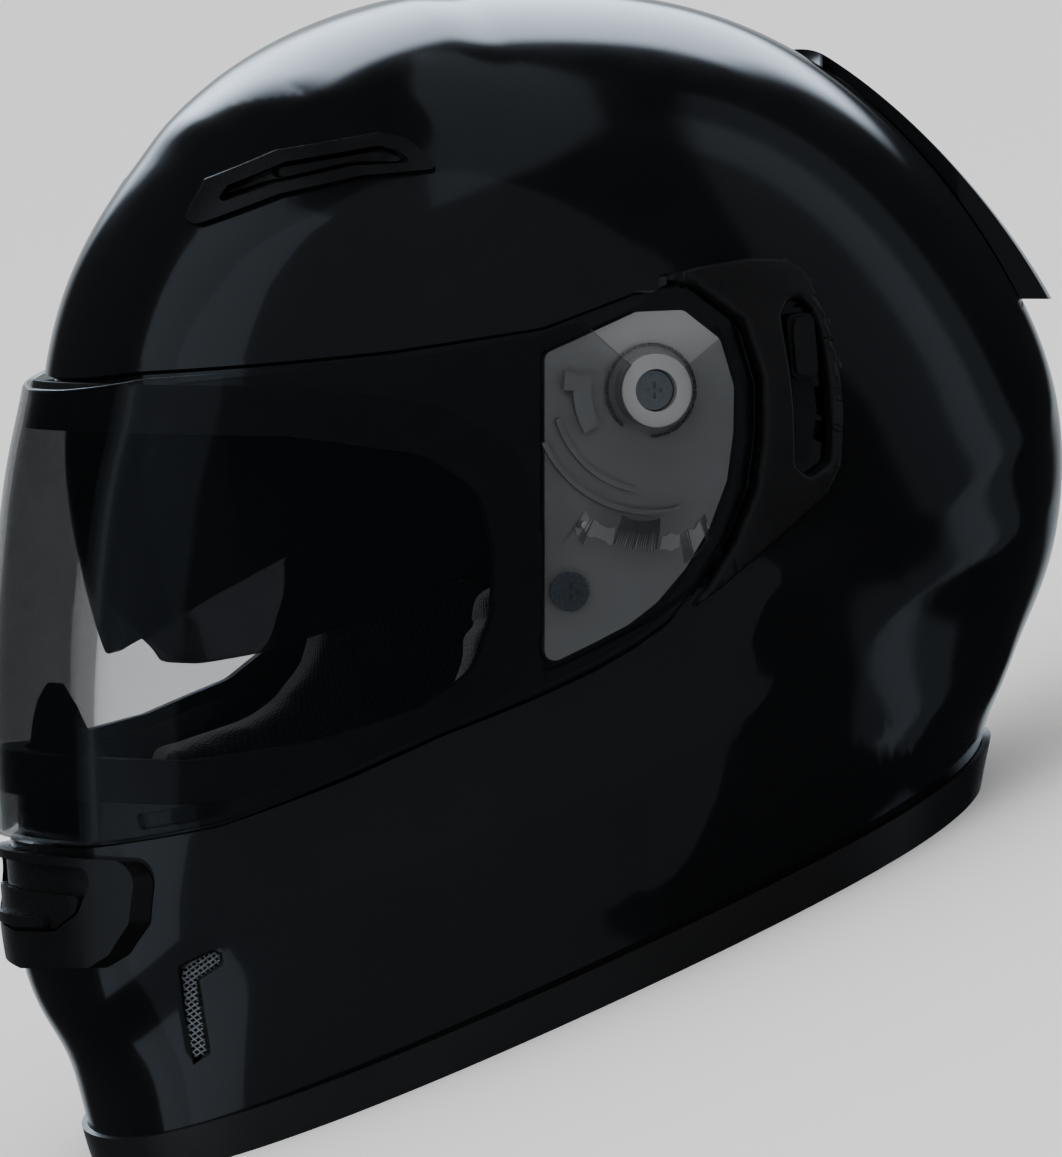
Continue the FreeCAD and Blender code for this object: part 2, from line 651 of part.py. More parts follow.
def base_screws():
    """Two cross-head screws a side, with the nuts behind the pocket's wall."""
    top = dim("plate_top")
    left = []
    nuts = []
    seats = (top + 1.5, top + 0.2)
    for index, ((y, z), seat) in enumerate(zip(SCREW_PLACES, seats)):
        head = cylinder(f"head_{index}", "screw_head", seat, seat + 2.4, y, z)
        shank = cylinder(f"shank_{index}", "screw_radius", 105.0, seat + 1.0, y, z)
        recess = [side_cross(f"cross_{index}_{arm}", seat + 1.2, y, z, arm) for arm in (0, 1)]
        left.append(cut(f"screw_{index}", fuse(f"screw_blank_{index}", head, shank), *recess))
        blank = cylinder(f"nut_blank_{index}", 4.5, 106.0, dim("pocket_back") - 0.2, y, z)
        bore = cylinder(f"nut_bore_{index}", dim("screw_radius") + 0.1, 100.0, 112.0, y, z)
        nuts.append(cut(f"nut_{index}", blank, bore))
    both_sides(compound("base_screw_pair", left), "base_plate_screws")
    both_sides(compound("base_nut_pair", nuts), "base_plate_nuts")


def side_cross(name, x_from, y, z, arm):
    """One arm of a screw's cross recess."""
    bar = doc.addObject("Part::Box", name)
    bar.Length = 4.0
    bar.Width, bar.Height = (4.8, 1.1) if arm else (1.1, 4.8)
    corner = V(x_from, y - bar.Width.Value / 2, z - bar.Height.Value / 2)
    bar.Placement = FreeCAD.Placement(corner, FreeCAD.Rotation())
    return bar


def compound(name, pieces):
    """Several separate solids as one piece."""
    group = doc.addObject("Part::Compound", name)
    group.Links = pieces
    return group


def release_levers():
    """Sprung arc lever beside each boss that frees the visor, with its torsion spring."""
    x_from = dim("plate_top") + dim("layer_gap")
    body = doc.addObject("PartDesign::Body", "release_lever")
    arc = side_sketch(body, "lever_arc", x_from, band_edges(17.5, 22.5, LEVER_FROM, LEVER_TO))
    pad(body, arc, 2.2)
    tab = side_sketch(body, "lever_tab", x_from, band_edges(21.5, 25.4, LEVER_FROM, LEVER_FROM + 12))
    pad(body, tab, 3.2)
    both_sides(body, "release_lever")
    coil = doc.addObject("Part::Torus", "spring_wire")
    coil.Radius1, coil.Radius2, coil.Angle3 = 12.6, 0.45, 320
    on_axis = FreeCAD.Placement(V(x_from + 0.8, 0, 0), FreeCAD.Rotation(V(0, 1, 0), 90))
    both_sides(coil, "release_spring", on_axis)


TAB_OUTLINE = [(-133, -117), (-118.5, -113.6), (-118, -117), (-122, -119), (-132, -121.5)]


def visor():
    """Clear visor with its pivot holes and rims, ratchet slots and thumb tab."""
    sheet_layer = layer("visor_layer", visor_form(0), visor_form(-dim("visor_wall")))
    blank = common("visor_blank", sheet_layer, pair_prism("visor_prism", VISOR_OUTLINE, 7.0))
    rims = []
    outer_face = dim("visor_half_width") * 0.986
    for side in (1, -1):
        x_from = outer_face - 0.2 if side > 0 else -outer_face - 1.2
        rims.append(cylinder(f"visor_rim_{side}", 12.4, x_from, x_from + 1.4))
    tab_layer = layer("tab_layer", visor_form(3.4), visor_form(-0.9))
    tab = common("visor_tab", tab_layer, prism("tab_prism", "side", TAB_OUTLINE, 30.0, 1.0))
    body = fuse("visor_joined", blank, *rims, tab)
    holes = [cylinder("visor_pivot_hole", "pivot_hole", -HALF_SPACE, HALF_SPACE)]
    radius = dim("ratchet_radius")
    holes.append(arc_band("ratchet_slot", radius - 1.8, radius + 1.8, SLOT_FROM, SLOT_TO,
                          -HALF_SPACE, HALF_SPACE))
    finish(cut("visor_body", body, *holes), "visor")


SHADE_OUTLINE = [
    (FAR, -6), (-120, -4), (-60, -6), (-24, -24), (-4, -28), (8, -30), (9.5, -37), (4, -43.5),
    (-18, -45.5), (-42, -48.5), (-68, -60), (-96, -72.5), (-112, -77), (FAR, -77.5),
]
NOSE = [(-39, -86), (39, -86), (30, -73), (14, -64.5), (0, -59), (-14, -64.5), (-30, -73)]


def sun_shade():
    """Smoked drop-down shade with two arms, a nose cut-out, and its hinge pins."""
    blank = common("shade_blank", layer("shade_layer", shade_form(0), shade_form(-dim("shade_wall"))),
                   pair_prism("shade_prism", SHADE_OUTLINE, 8.0))
    nose = prism("shade_nose", "front", NOSE, -dim("reach") + 30.0, 8.0)
    hinge = cylinder("shade_hinge_hole", "pin_hole", -HALF_SPACE, HALF_SPACE, 0, -dim("shade_drop"))
    finish(cut("shade_body", blank, nose, hinge), "sun_shade")
    inner = (dim("shade_half_width") - dim("shade_wall")) * 0.98922
    shank = cylinder("pin_shank", "pin_radius", inner - 1.4, dim("pocket_back") - 0.2, 0, -dim("shade_drop"))
    head = cylinder("pin_head", 4.2, inner - 2.3, inner - 0.3, 0, -dim("shade_drop"))
    both_sides(fuse("shade_pin", shank, head), "sun_shade_pin")


SLIDER_AT = (43.2, 12.0)
SLIDE_LEAN = 5.5
SLIDER_BASE = [(-3.9, -9), (3.9, -9), (3.9, 9), (-3.9, 9)]
SLIDER_GRIP = [(-3.0, -7.5), (2.2, -8.5), (3.2, -2), (3.2, 7.5), (-2.0, 8.2), (-3.0, 4)]
RAIL_OUTLINE = [(39.5, 20), (45, 20), (48.5, -6), (46.5, -20), (41.5, -20), (39.5, 6)]


def shade_slider():
    """Thumb slider in the left pod that raises and lowers the sun shade."""
    body = doc.addObject("PartDesign::Body", "slider")
    base = side_sketch(body, "slider_base", 0, flat_outline(SLIDER_BASE, 2.5))
    pad(body, base, 3.2)
    grip = side_sketch(body, "slider_grip", 3.0, flat_outline(SLIDER_GRIP, 1.2))
    pad(body, grip, 2.6)
    y, z = SLIDER_AT
    lean = FreeCAD.Rotation(V(1, 0, 0), SLIDE_LEAN)
    finish(body, "sun_shade_slider", FreeCAD.Placement(V(115.6, y, z), lean))
    rail = doc.addObject("PartDesign::Body", "slider_rail")
    track = side_sketch(rail, "rail_outline", dim("pocket_floor") + dim("layer_gap"),
                        flat_outline(RAIL_OUTLINE, 2.5))
    pad(rail, track, 1.1)
    finish(rail, "sun_shade_rail")


# --- inside: foam, padding and strap ---------------------------------------------------------------

CROWN_KEEP = [(FAR, -8), (-62, -8), (-46, -20), (-40, -44), (16, -52), (22, -170), (240, -170), (240, 240),
              (FAR, 240)]
SHADE_ROOM = [(13, -60), (14, -14), (-4, 4), (-100, 150), (FAR, 150), (FAR, -130), (-46, -130)]


def crown_foam():
    """Foam liner over the crown, back and sides, thinned in front for the shade's path."""
    drop = dim("shade_drop")
    thin = form("foam_form", FOAM_PROFILE, 101.8, 0.0, drop)
    room = cut("shade_room", pair_prism("shade_room_prism", SHADE_ROOM, 10.0), thin)
    head = form("foam_inside", FOAM_INSIDE, 88.0, 0.0, drop)
    whole = common("crown_whole", shell_form(-dim("shell_wall") - dim("layer_gap")),
                   pair_prism("crown_keep", CROWN_KEEP, 6.0))
    kept = cut("crown_kept", whole, table_slab("under_foam", -HALF_SPACE, 26.0), head, room)
    rooms = [prism(f"foam_pocket_{side}", "side", grown(POCKET_OUTLINE, 3.8), start, 4.0)
             for side, start in (("l", 105.0), ("r", -dim("reach") - 105.0))]
    rooms += [prism(f"foam_brow_{side}", "side", grown(BROW_TRAY, 1.2), start, 2.0)
              for side, start in (("l", BROW_INNER - 0.5), ("r", 0.5 - BROW_INNER - dim("reach")))]
    body = cut("crown_foam_body", kept, compound("foam_pockets", rooms[:2]), compound("foam_brows", rooms[2:]))
    finish(body, "crown_foam")


def crown_liner():
    """Removable comfort liner inside the foam."""
    drop = dim("shade_drop")
    outer = form("liner_outer", FOAM_INSIDE, 88.0, -0.4, drop)
    inner = form("liner_inner", FOAM_INSIDE, 88.0, -8.5, drop)
    keep = grown(CROWN_KEEP, -1.5)
    kept = common("liner_kept", layer("liner_layer", outer, inner), pair_prism("liner_keep", keep, 6.0))
    finish(cut("liner_body", kept, table_slab("under_liner", -HALF_SPACE, 32.0)), "crown_liner")


def neck_roll():
    """Padded roll along the back of the neck opening."""
    side = pair_prism("neck_prism", [(26, -190), (200, -190), (200, 60), (26, 60)], 2.0)
    finish(common("neck_body", shell_layer(-8.0, -27.0), side, table_slab("neck_slab", 6.0, 25.5)), "neck_roll")


CHIN_FOAM = [(FAR, -114), (-122, -113.5), (-92, -108), (-60, -99), (-40, -88), (-6, -75), (12, -66),
             (17, -180), (FAR, -260)]
CHEEK = [(-100, -106), (-62, -93), (-48, -80), (-40, -50), (10, -58), (16, -190), (-100, -230)]


def chin_foam():
    """Foam inside the chin bar."""
    jaw = pair_prism("chin_foam_prism", CHIN_FOAM, 4.0)
    blank = common("chin_foam_blank", shell_layer(-dim("shell_wall") - 0.4, -18.0), jaw)
    rim = table_slab("under_chin", -HALF_SPACE, 14.0)
    finish(cut("chin_foam_body", blank, rim), "chin_foam")


def chin_curtain():
    """Wind curtain across the bottom of the chin bar."""
    front = pair_prism("curtain_plan", [(FAR, -260), (-104, -260), (-104, -110), (FAR, -110)], 4.0)
    slab = table_slab("curtain_slab", 9.0, 10.6)
    finish(common("curtain_body", shell_layer(-8.0, -44.0), front, slab), "chin_curtain")


GUARD_OUTLINE = [(-50, -112.5), (50, -112.5), (44, -104), (20, -89), (6, -83.5), (-6, -83.5), (-20, -89),
                 (-44, -104)]


def breath_guard():
    """Peaked rubber guard that keeps breath off the visor."""
    front = prism("guard_prism", "front", GUARD_OUTLINE, -dim("reach") + 60.0, 4.0)
    finish(common("guard_body", shell_layer(-7.0, -9.4), front), "breath_guard")


STRAP_Y = -21.22
STRAP_SHORT = [(94.5, 80), (84, 46), (62, 20), (44.5, 14)]
STRAP_LONG = [(-94.5, 80), (-84, 46), (-60, 19), (-20, 8.6), (30, 8.6), (36.5, 19.5), (26, 22.5), (-34, 16.5)]


def ribbon(name, points, radius, thick, width):
    """Strap of flat webbing: a path in the XZ plane of the standing frame, thick and width across it."""
    path = []
    corners = [V(x, 0, z) for x, z in points]
    trimmed = [corners[0]]
    for before, corner, after in zip(corners, corners[1:], corners[2:]):
        back, on = before - corner, after - corner
        half_turn = back.getAngle(on) / 2
        run = min(radius / math.tan(half_turn), 0.45 * back.Length, 0.45 * on.Length)
        arc_radius = run * math.tan(half_turn)
        start = corner + back.normalize() * run
        end = corner + on.normalize() * run
        middle = corner + (back + on).normalize() * (math.hypot(run, arc_radius) - arc_radius)
        path.append(Part.LineSegment(trimmed[-1], start).toShape())
        path.append(Part.Arc(start, middle, end).toShape())
        trimmed.append(end)
    path.append(Part.LineSegment(trimmed[-1], corners[-1]).toShape())
    line = Part.Wire(path)
    first = (corners[1] - corners[0]).normalize()
    across = first.cross(V(0, 1, 0)).normalize() * (thick / 2)
    rib = V(0, width / 2, 0)
    start = corners[0]
    section = Part.makePolygon([start + across + rib, start + across - rib, start - across - rib,
                                start - across + rib, start + across + rib])
    strap = doc.addObject("Part::Feature", name)
    strap.Shape = line.makePipeShell([section], True, False)
    return strap


def cheek_pads():
    """Cheek pad on each side, with the plastic plate that snaps it in."""
    slab = table_slab("cheek_slab", 6.0, HALF_SPACE)
    pad_layer = shell_layer(-20.2, -42.0)
    slot = ribbon("strap_slot", [(98.5, 93), *STRAP_SHORT[1:3], (30, 6)], 20.0, dim("strap_thick") + 2.4,
                  dim("strap_width") + 3.0)
    slot.Placement = STAND.inverse().multiply(FreeCAD.Placement(V(0, STRAP_Y, 0), FreeCAD.Rotation()))
    blank = common("cheek_blank", pad_layer, prism("cheek_prism", "side", CHEEK, 30.0, 9.0), slab)
    left = cut("cheek_pad", blank, slot)
    both_sides(left, "cheek_pad")
    plate_prism = prism("cheek_plate_prism", "side", grown(CHEEK, -5), 30.0, 9.0)
    plate = common("cheek_plate", shell_layer(-18.3, -19.9), plate_prism,
                   table_slab("cheek_plate_slab", 14.0, HALF_SPACE))
    both_sides(plate, "cheek_plate")


def stands(piece, label, y_at):
    """Name a finished piece that is drawn in the standing frame."""
    piece.Label = label
    piece.Placement = FreeCAD.Placement(V(0, y_at, 0), FreeCAD.Rotation())
    FINISHED.append(piece)
    return piece


def chin_strap():
    """Webbing from both sides, closed through two D-rings, with its sleeves and anchors."""
    thick, width = dim("strap_thick"), dim("strap_width")
    stands(ribbon("strap_short", STRAP_SHORT, 20.0, thick, width), "chin_strap_short", STRAP_Y)
    stands(ribbon("strap_long", STRAP_LONG, 14.0, thick, width), "chin_strap_long", STRAP_Y)
    for name, height in (("lower", 12.6), ("upper", 17.0)):
        stands(d_ring(f"ring_{name}", height), f"d_ring_{name}", STRAP_Y)
    snap = doc.addObject("Part::Cylinder", "strap_snap")
    snap.Radius, snap.Height = 6.0, 2.6
    snap.Label = "strap_snap"
    snap.Placement = FreeCAD.Placement(V(-24, STRAP_Y, 19.4), FreeCAD.Rotation())
    FINISHED.append(snap)


def d_ring(name, height):
    """One D-ring of round wire, lying flat at a height above the table."""
    wire = dim("ring_wire")
    bar_x, nose_x, half = 41.5, 20.0, dim("strap_width") / 2 + 4.0
    centre_x = nose_x + half
    arc = Part.Arc(V(centre_x, half, height), V(nose_x, 0, height), V(centre_x, -half, height)).toShape()
    lines = [
        Part.LineSegment(V(centre_x, -half, height), V(bar_x, -half, height)).toShape(),
        Part.LineSegment(V(bar_x, half, height), V(centre_x, half, height)).toShape(),
    ]
    path = Part.Wire([lines[1], arc, lines[0]])
    section = Part.Wire([Part.Circle(V(bar_x, half, height), V(1, 0, 0), wire).toShape()])
    bow = path.makePipeShell([section], True, False)
    bar = Part.makeCylinder(wire, 2 * half + 2 * wire, V(bar_x, -half - wire, height), V(0, 1, 0))
    ring = doc.addObject("Part::Feature", name)
    ring.Shape = bow.fuse(bar)
    return ring


def write_parts():
    """Check every object, then write each finished piece to its own STEP file."""
    doc.recompute()
    for item in doc.Objects:
        if "Invalid" in item.State or "Error" in item.State:
            raise RuntimeError(f"{item.Name} ({item.Label}) failed: {item.State}")
    os.makedirs("parts", exist_ok=True)
    for piece in FINISHED:
        shape = piece.Shape
        if shape.isNull() or not shape.isValid() or not shape.Solids:
            raise RuntimeError(f"{piece.Label} has no valid solid")
        shape.exportStep(os.path.join("parts", piece.Label + ".step"))
        print(f"{piece.Label:24s} {len(shape.Solids)} solid(s) {shape.Volume / 1000:9.2f} cm3")


for build in (outer_shell, bottom_edge, port_gasket, chin_vent, brow_vents, jaw_vents, rear_spoiler, side_pods,
              base_plates, base_screws, release_levers, visor, sun_shade, shade_slider, crown_foam, crown_liner,
              neck_roll, chin_foam, cheek_pads, chin_curtain, breath_guard, chin_strap):
    build()
write_parts()
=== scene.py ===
"""Looks of a gloss full-face helmet with a clear visor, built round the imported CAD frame.

The shell, the visor and every panel on them are stretches of a few closed forms: a middle-plane outline
that shrinks towards both sides as a superellipse does. A panel is cut from its form by outlines seen from
the side or from the front, then given its thickness and rolled edges.

Sizes are in millimetres in the head frame: its origin is midway between the visor's pivots, +X to the
wearer's left, +Y to the back and +Z up as worn. Meshes are written in the row frame, in metres.
"""

import json
import logging
import math
from collections.abc import Callable, Sequence
from dataclasses import dataclass, field
from enum import Enum

import bpy
import numpy as np
from mathutils import Matrix, Vector

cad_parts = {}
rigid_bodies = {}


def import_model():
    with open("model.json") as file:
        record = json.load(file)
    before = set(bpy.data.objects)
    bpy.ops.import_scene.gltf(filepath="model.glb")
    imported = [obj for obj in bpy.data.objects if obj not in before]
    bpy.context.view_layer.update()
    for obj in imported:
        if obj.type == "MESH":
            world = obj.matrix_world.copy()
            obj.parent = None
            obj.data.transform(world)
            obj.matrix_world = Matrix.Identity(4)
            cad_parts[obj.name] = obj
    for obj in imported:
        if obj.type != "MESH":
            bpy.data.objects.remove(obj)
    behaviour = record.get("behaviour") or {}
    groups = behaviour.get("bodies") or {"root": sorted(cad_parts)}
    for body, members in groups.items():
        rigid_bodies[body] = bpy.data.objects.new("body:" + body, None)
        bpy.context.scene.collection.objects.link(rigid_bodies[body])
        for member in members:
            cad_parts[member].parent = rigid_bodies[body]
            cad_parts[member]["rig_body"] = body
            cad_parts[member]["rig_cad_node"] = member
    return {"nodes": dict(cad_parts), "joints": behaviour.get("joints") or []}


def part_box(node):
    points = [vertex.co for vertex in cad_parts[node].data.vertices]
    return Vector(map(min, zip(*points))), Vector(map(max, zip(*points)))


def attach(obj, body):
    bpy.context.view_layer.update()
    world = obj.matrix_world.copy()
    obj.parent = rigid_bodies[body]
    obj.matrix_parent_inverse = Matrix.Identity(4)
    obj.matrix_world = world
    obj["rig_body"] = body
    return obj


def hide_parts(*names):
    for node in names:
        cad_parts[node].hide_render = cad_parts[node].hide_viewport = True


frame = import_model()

logging.basicConfig(level=logging.INFO, format="%(message)s")
LOG = logging.getLogger("helmet")

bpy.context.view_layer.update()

Points = np.ndarray
Field = Callable[[Points], np.ndarray]

MM = 0.001
LEAN = math.radians(24.0)
JOINTS = {joint["name"]: joint for joint in frame["joints"]}
PIVOT = np.array(JOINTS["visor_hinge"]["pos_m"])
SHADE_DROP = 36.0
FAR = -220.0
TINY = 1e-5


class View(Enum):
    """The direction that an outline is seen from, as the two head-frame axes it is drawn on."""

    SIDE = (1, 2)
    FRONT = (0, 2)


class Side(Enum):
    """The wearer's left or right, as the sign of X."""

    LEFT = 1
    RIGHT = -1

    @property
    def word(self) -> str:
        """The side in lower case, as piece names have it."""
        return self.name.lower()


def to_row(points: Points) -> Points:
    """Head-frame points in millimetres as row-frame points in metres.

    Args:
        points: one point a row.

    Returns:
        The same points in the row frame, in metres.
    """
    return turned(points) * MM + np.array([0.0, PIVOT[1], PIVOT[2]])


def turned(vectors: Points) -> Points:
    """Head-frame directions as row-frame directions."""
    cos, sin = math.cos(LEAN), math.sin(LEAN)
    x, y, z = vectors[:, 0], vectors[:, 1], vectors[:, 2]
    return np.stack([x, y * cos + z * sin, z * cos - y * sin], axis=1)


def table_height(points: Points) -> np.ndarray:
    """Height above the table of head-frame points, in millimetres."""
    return (points[:, 2] * math.cos(LEAN) - points[:, 1] * math.sin(LEAN)) + PIVOT[2] / MM


def smooth(value: np.ndarray, start: float, end: float) -> np.ndarray:
    """A ramp from 0 at start to 1 at end with level ends."""
    t = np.clip((value - start) / (end - start), 0.0, 1.0)
    return t * t * (3.0 - 2.0 * t)


# --- outlines ------------------------------------------------------------------------------------------


def rounded(points: Sequence[tuple[float, float]], radius: float, steps: int = 6) -> Points:
    """A closed outline with each corner rounded.

    Args:
        points: the outline's corners in order.
        radius: the largest corner radius.
        steps: chords to each corner.

    Returns:
        The outline's points, one a row.
    """
    corners = np.array(points, float)
    before, after = np.roll(corners, 1, axis=0) - corners, np.roll(corners, -1, axis=0) - corners
    loop = []
    for corner, back, on in zip(corners, before, after):
        back_length, on_length = np.linalg.norm(back), np.linalg.norm(on)
        back, on = back / back_length, on / on_length
        half_turn = math.acos(float(np.clip(back @ on, -1.0, 1.0))) / 2.0
        if math.cos(half_turn) < 0.02:
            loop.append(corner)
            continue
        run = min(radius / math.tan(half_turn), 0.45 * back_length, 0.45 * on_length)
        start, end = corner + back * run, corner + on * run
        for t in np.linspace(0.0, 1.0, steps):
            loop.append((1 - t) ** 2 * start + 2 * t * (1 - t) * corner + t * t * end)
    return np.array(loop)


def grown(points: Sequence[tuple[float, float]], by: float) -> list[tuple[float, float]]:
    """An outline with its corners moved outwards by about that much."""
    corners = np.array(points, float)
    before, after = np.roll(corners, 1, axis=0), np.roll(corners, -1, axis=0)
    turn = np.sign(np.sum(corners[:, 0] * after[:, 1] - after[:, 0] * corners[:, 1]))
    along = after - before
    along /= np.linalg.norm(along, axis=1)[:, None]
    moved = corners + turn * by * np.stack([along[:, 1], -along[:, 0]], axis=1)
    return [tuple(point) for point in moved]


class Outline:
    """A closed outline seen along one axis."""

    def __init__(self, points: Sequence[tuple[float, float]], radius: float = 2.0,
                 view: View = View.SIDE) -> None:
        """Rounds the corners.

        Args:
            points: the corners in order.
            radius: the largest corner radius.
            view: the direction the outline is seen from.
        """
        self.axes = list(view.value)
        self.loop = rounded(points, radius)

    def inside(self, at: Points) -> np.ndarray:
        """Distance inside the outline, negative outside it.

        Args:
            at: head-frame points.

        Returns:
            One distance a point, in millimetres.
        """
        plane = at[:, self.axes]
        nearest = np.full(len(plane), np.inf)
        within = np.zeros(len(plane), bool)
        for start, end in zip(self.loop, np.roll(self.loop, -1, axis=0)):
            run = end - start
            square = float(run @ run)
            if square < TINY:
                continue
            offset = plane - start
            t = np.clip(offset @ run / square, 0.0, 1.0)
            gap = offset - t[:, None] * run
            nearest = np.minimum(nearest, gap[:, 0] ** 2 + gap[:, 1] ** 2)
            if abs(run[1]) > TINY:
                straddles = (start[1] > plane[:, 1]) != (end[1] > plane[:, 1])
                reach = start[0] + (plane[:, 1] - start[1]) * run[0] / run[1]
                within ^= straddles & (plane[:, 0] < reach)
        return np.where(within, 1.0, -1.0) * np.sqrt(nearest)

    def outside(self, at: Points) -> np.ndarray:
        """Distance outside the outline, negative inside it."""
        return -self.inside(at)


def ring(radius: float) -> Field:
    """Distance outside a circle about the visor axis."""
    return lambda at: np.hypot(at[:, 1], at[:, 2]) - radius


def all_of(*fields: Field) -> Field:
    """What lies inside every one of the fields."""
    return lambda at: np.minimum.reduce([inner(at) for inner in fields])


def side_only(side: Side, beyond: float = 0.0) -> Field:
    """The half of the helmet on one side, beyond a distance from the middle plane."""
    return lambda at: at[:, 0] * side.value - beyond


class Line:
    """An open line seen from the side, for creases."""

    def __init__(self, points: Sequence[tuple[float, float]]) -> None:
        """Keeps the line's corners, from front to back."""
        self.points = np.array(points, float)

    def above(self, at: Points) -> np.ndarray:
        """Distance above the line, negative below it, and large past its two ends.

        Args:
            at: head-frame points.

        Returns:
            One signed distance a point.
        """
        plane = at[:, [1, 2]]
        nearest = np.full(len(plane), np.inf)
        signed = np.zeros(len(plane))
        for start, end in zip(self.points[:-1], self.points[1:]):
            run = end - start
            offset = plane - start
            t = np.clip(offset @ run / float(run @ run), 0.0, 1.0)
            gap = offset - t[:, None] * run
            far = np.hypot(gap[:, 0], gap[:, 1])
            sign = np.where(run[0] * offset[:, 1] - run[1] * offset[:, 0] >= 0, 1.0, -1.0)
            closer = far < nearest
            nearest = np.where(closer, far, nearest)
            signed = np.where(closer, sign * far, signed)
        return signed

    def fade(self, at: Points, length: float) -> np.ndarray:
        """1 along the line, falling to 0 over a length before each of its ends."""
        y = at[:, 1]
        first, last = self.points[0, 0], self.points[-1, 0]
        return smooth(y, first, first + length) * (1.0 - smooth(y, last - length, last))


# --- forms and panels ----------------------------------------------------------------------------------


class Form:
    """Closed surface whose middle-plane outline shrinks towards both sides as a superellipse does.

    Its two parameters are the angle across, from -90 degrees at the right pole to 90 at the left, and
    the angle round the visor axis, from +Y towards +Z.
    """

    POWER = 2.3

    def __init__(self, outline: Sequence[tuple[float, float]], half_width: float,
                 drop: float = 0.0) -> None:
        """Fits a periodic cubic spline to the outline's radius against its angle.

        Args:
            outline: middle-plane points as (Y, Z) about the form's own centre.
            half_width: the form's half width at its centre.
            drop: the centre's distance below the visor axis.
        """
        self.half_width = half_width
        self.drop = drop
        points = np.array(outline, float)
        angles = np.mod(np.arctan2(points[:, 1], points[:, 0]), 2 * math.pi)
        order = np.argsort(angles)
        self.knots = angles[order]
        self.radii = np.hypot(points[:, 0], points[:, 1])[order]
        self.bends = self._bends()

    def _bends(self) -> np.ndarray:
        """Second derivatives of the periodic spline at its knots."""
        count = len(self.knots)
        step = np.mod(np.roll(self.knots, -1) - self.knots, 2 * math.pi)
        back = np.roll(step, 1)
        slope = (np.roll(self.radii, -1) - self.radii) / step
        index = np.arange(count)
        matrix = np.zeros((count, count))
        matrix[index, index] = 2 * (step + back)
        matrix[index, (index + 1) % count] = step
        matrix[index, (index - 1) % count] = back
        return np.linalg.solve(matrix, 6 * (slope - np.roll(slope, 1)))

    def radius(self, angle: np.ndarray) -> np.ndarray:
        """The outline's radius at each angle."""
        turned = np.mod(angle - self.knots[0], 2 * math.pi) + self.knots[0]
        low = np.searchsorted(self.knots, turned, side="right") - 1
        high = (low + 1) % len(self.knots)
        step = np.mod(self.knots[high] - self.knots[low], 2 * math.pi)
        a = (self.knots[low] + step - turned) / step
        b = 1.0 - a
        cubic = ((a**3 - a) * self.bends[low] + (b**3 - b) * self.bends[high]) * step**2 / 6.0
        return a * self.radii[low] + b * self.radii[high] + cubic

    def points(self, params: Points) -> Points:
        """Surface points at pairs of parameters."""
        across, turn = params[:, 0], params[:, 1]
        sine, cosine = np.sin(across), np.maximum(np.cos(across), 0.0)
        x = np.sign(sine) * np.abs(sine) ** (2 / self.POWER) * self.half_width
        reach = self.radius(turn) * cosine ** (2 / self.POWER)
        return np.stack([x, reach * np.cos(turn), reach * np.sin(turn) - self.drop], axis=1)

    def normals(self, params: Points) -> Points:
        """Outward unit normals at pairs of parameters, from small steps along both."""
        step = 2e-4
        over = np.array([[step, 0.0]])
        along = np.array([[0.0, step]])
        first = self.points(params + over) - self.points(params - over)
        second = self.points(params + along) - self.points(params - along)
        normal = np.cross(first, second)
        length = np.linalg.norm(normal, axis=1)
        at = self.points(params) + np.array([0.0, 0.0, self.drop])
        pole = np.stack([np.sign(params[:, 0]), np.zeros(len(at)), np.zeros(len(at))], axis=1)
        safe = np.where(length[:, None] > 1e-9, normal / np.maximum(length, 1e-12)[:, None], pole)
        return safe * np.where(np.sum(safe * at, axis=1) < 0, -1.0, 1.0)[:, None]


@dataclass
class Stretch:
    """The part of a form that a panel is cut from, in degrees, and the size of its mesh's cells."""

    across: tuple[float, float] = (-89.0, 89.0)
    turn: tuple[float, float] = (0.0, 360.0)
    cell: float = 2.5


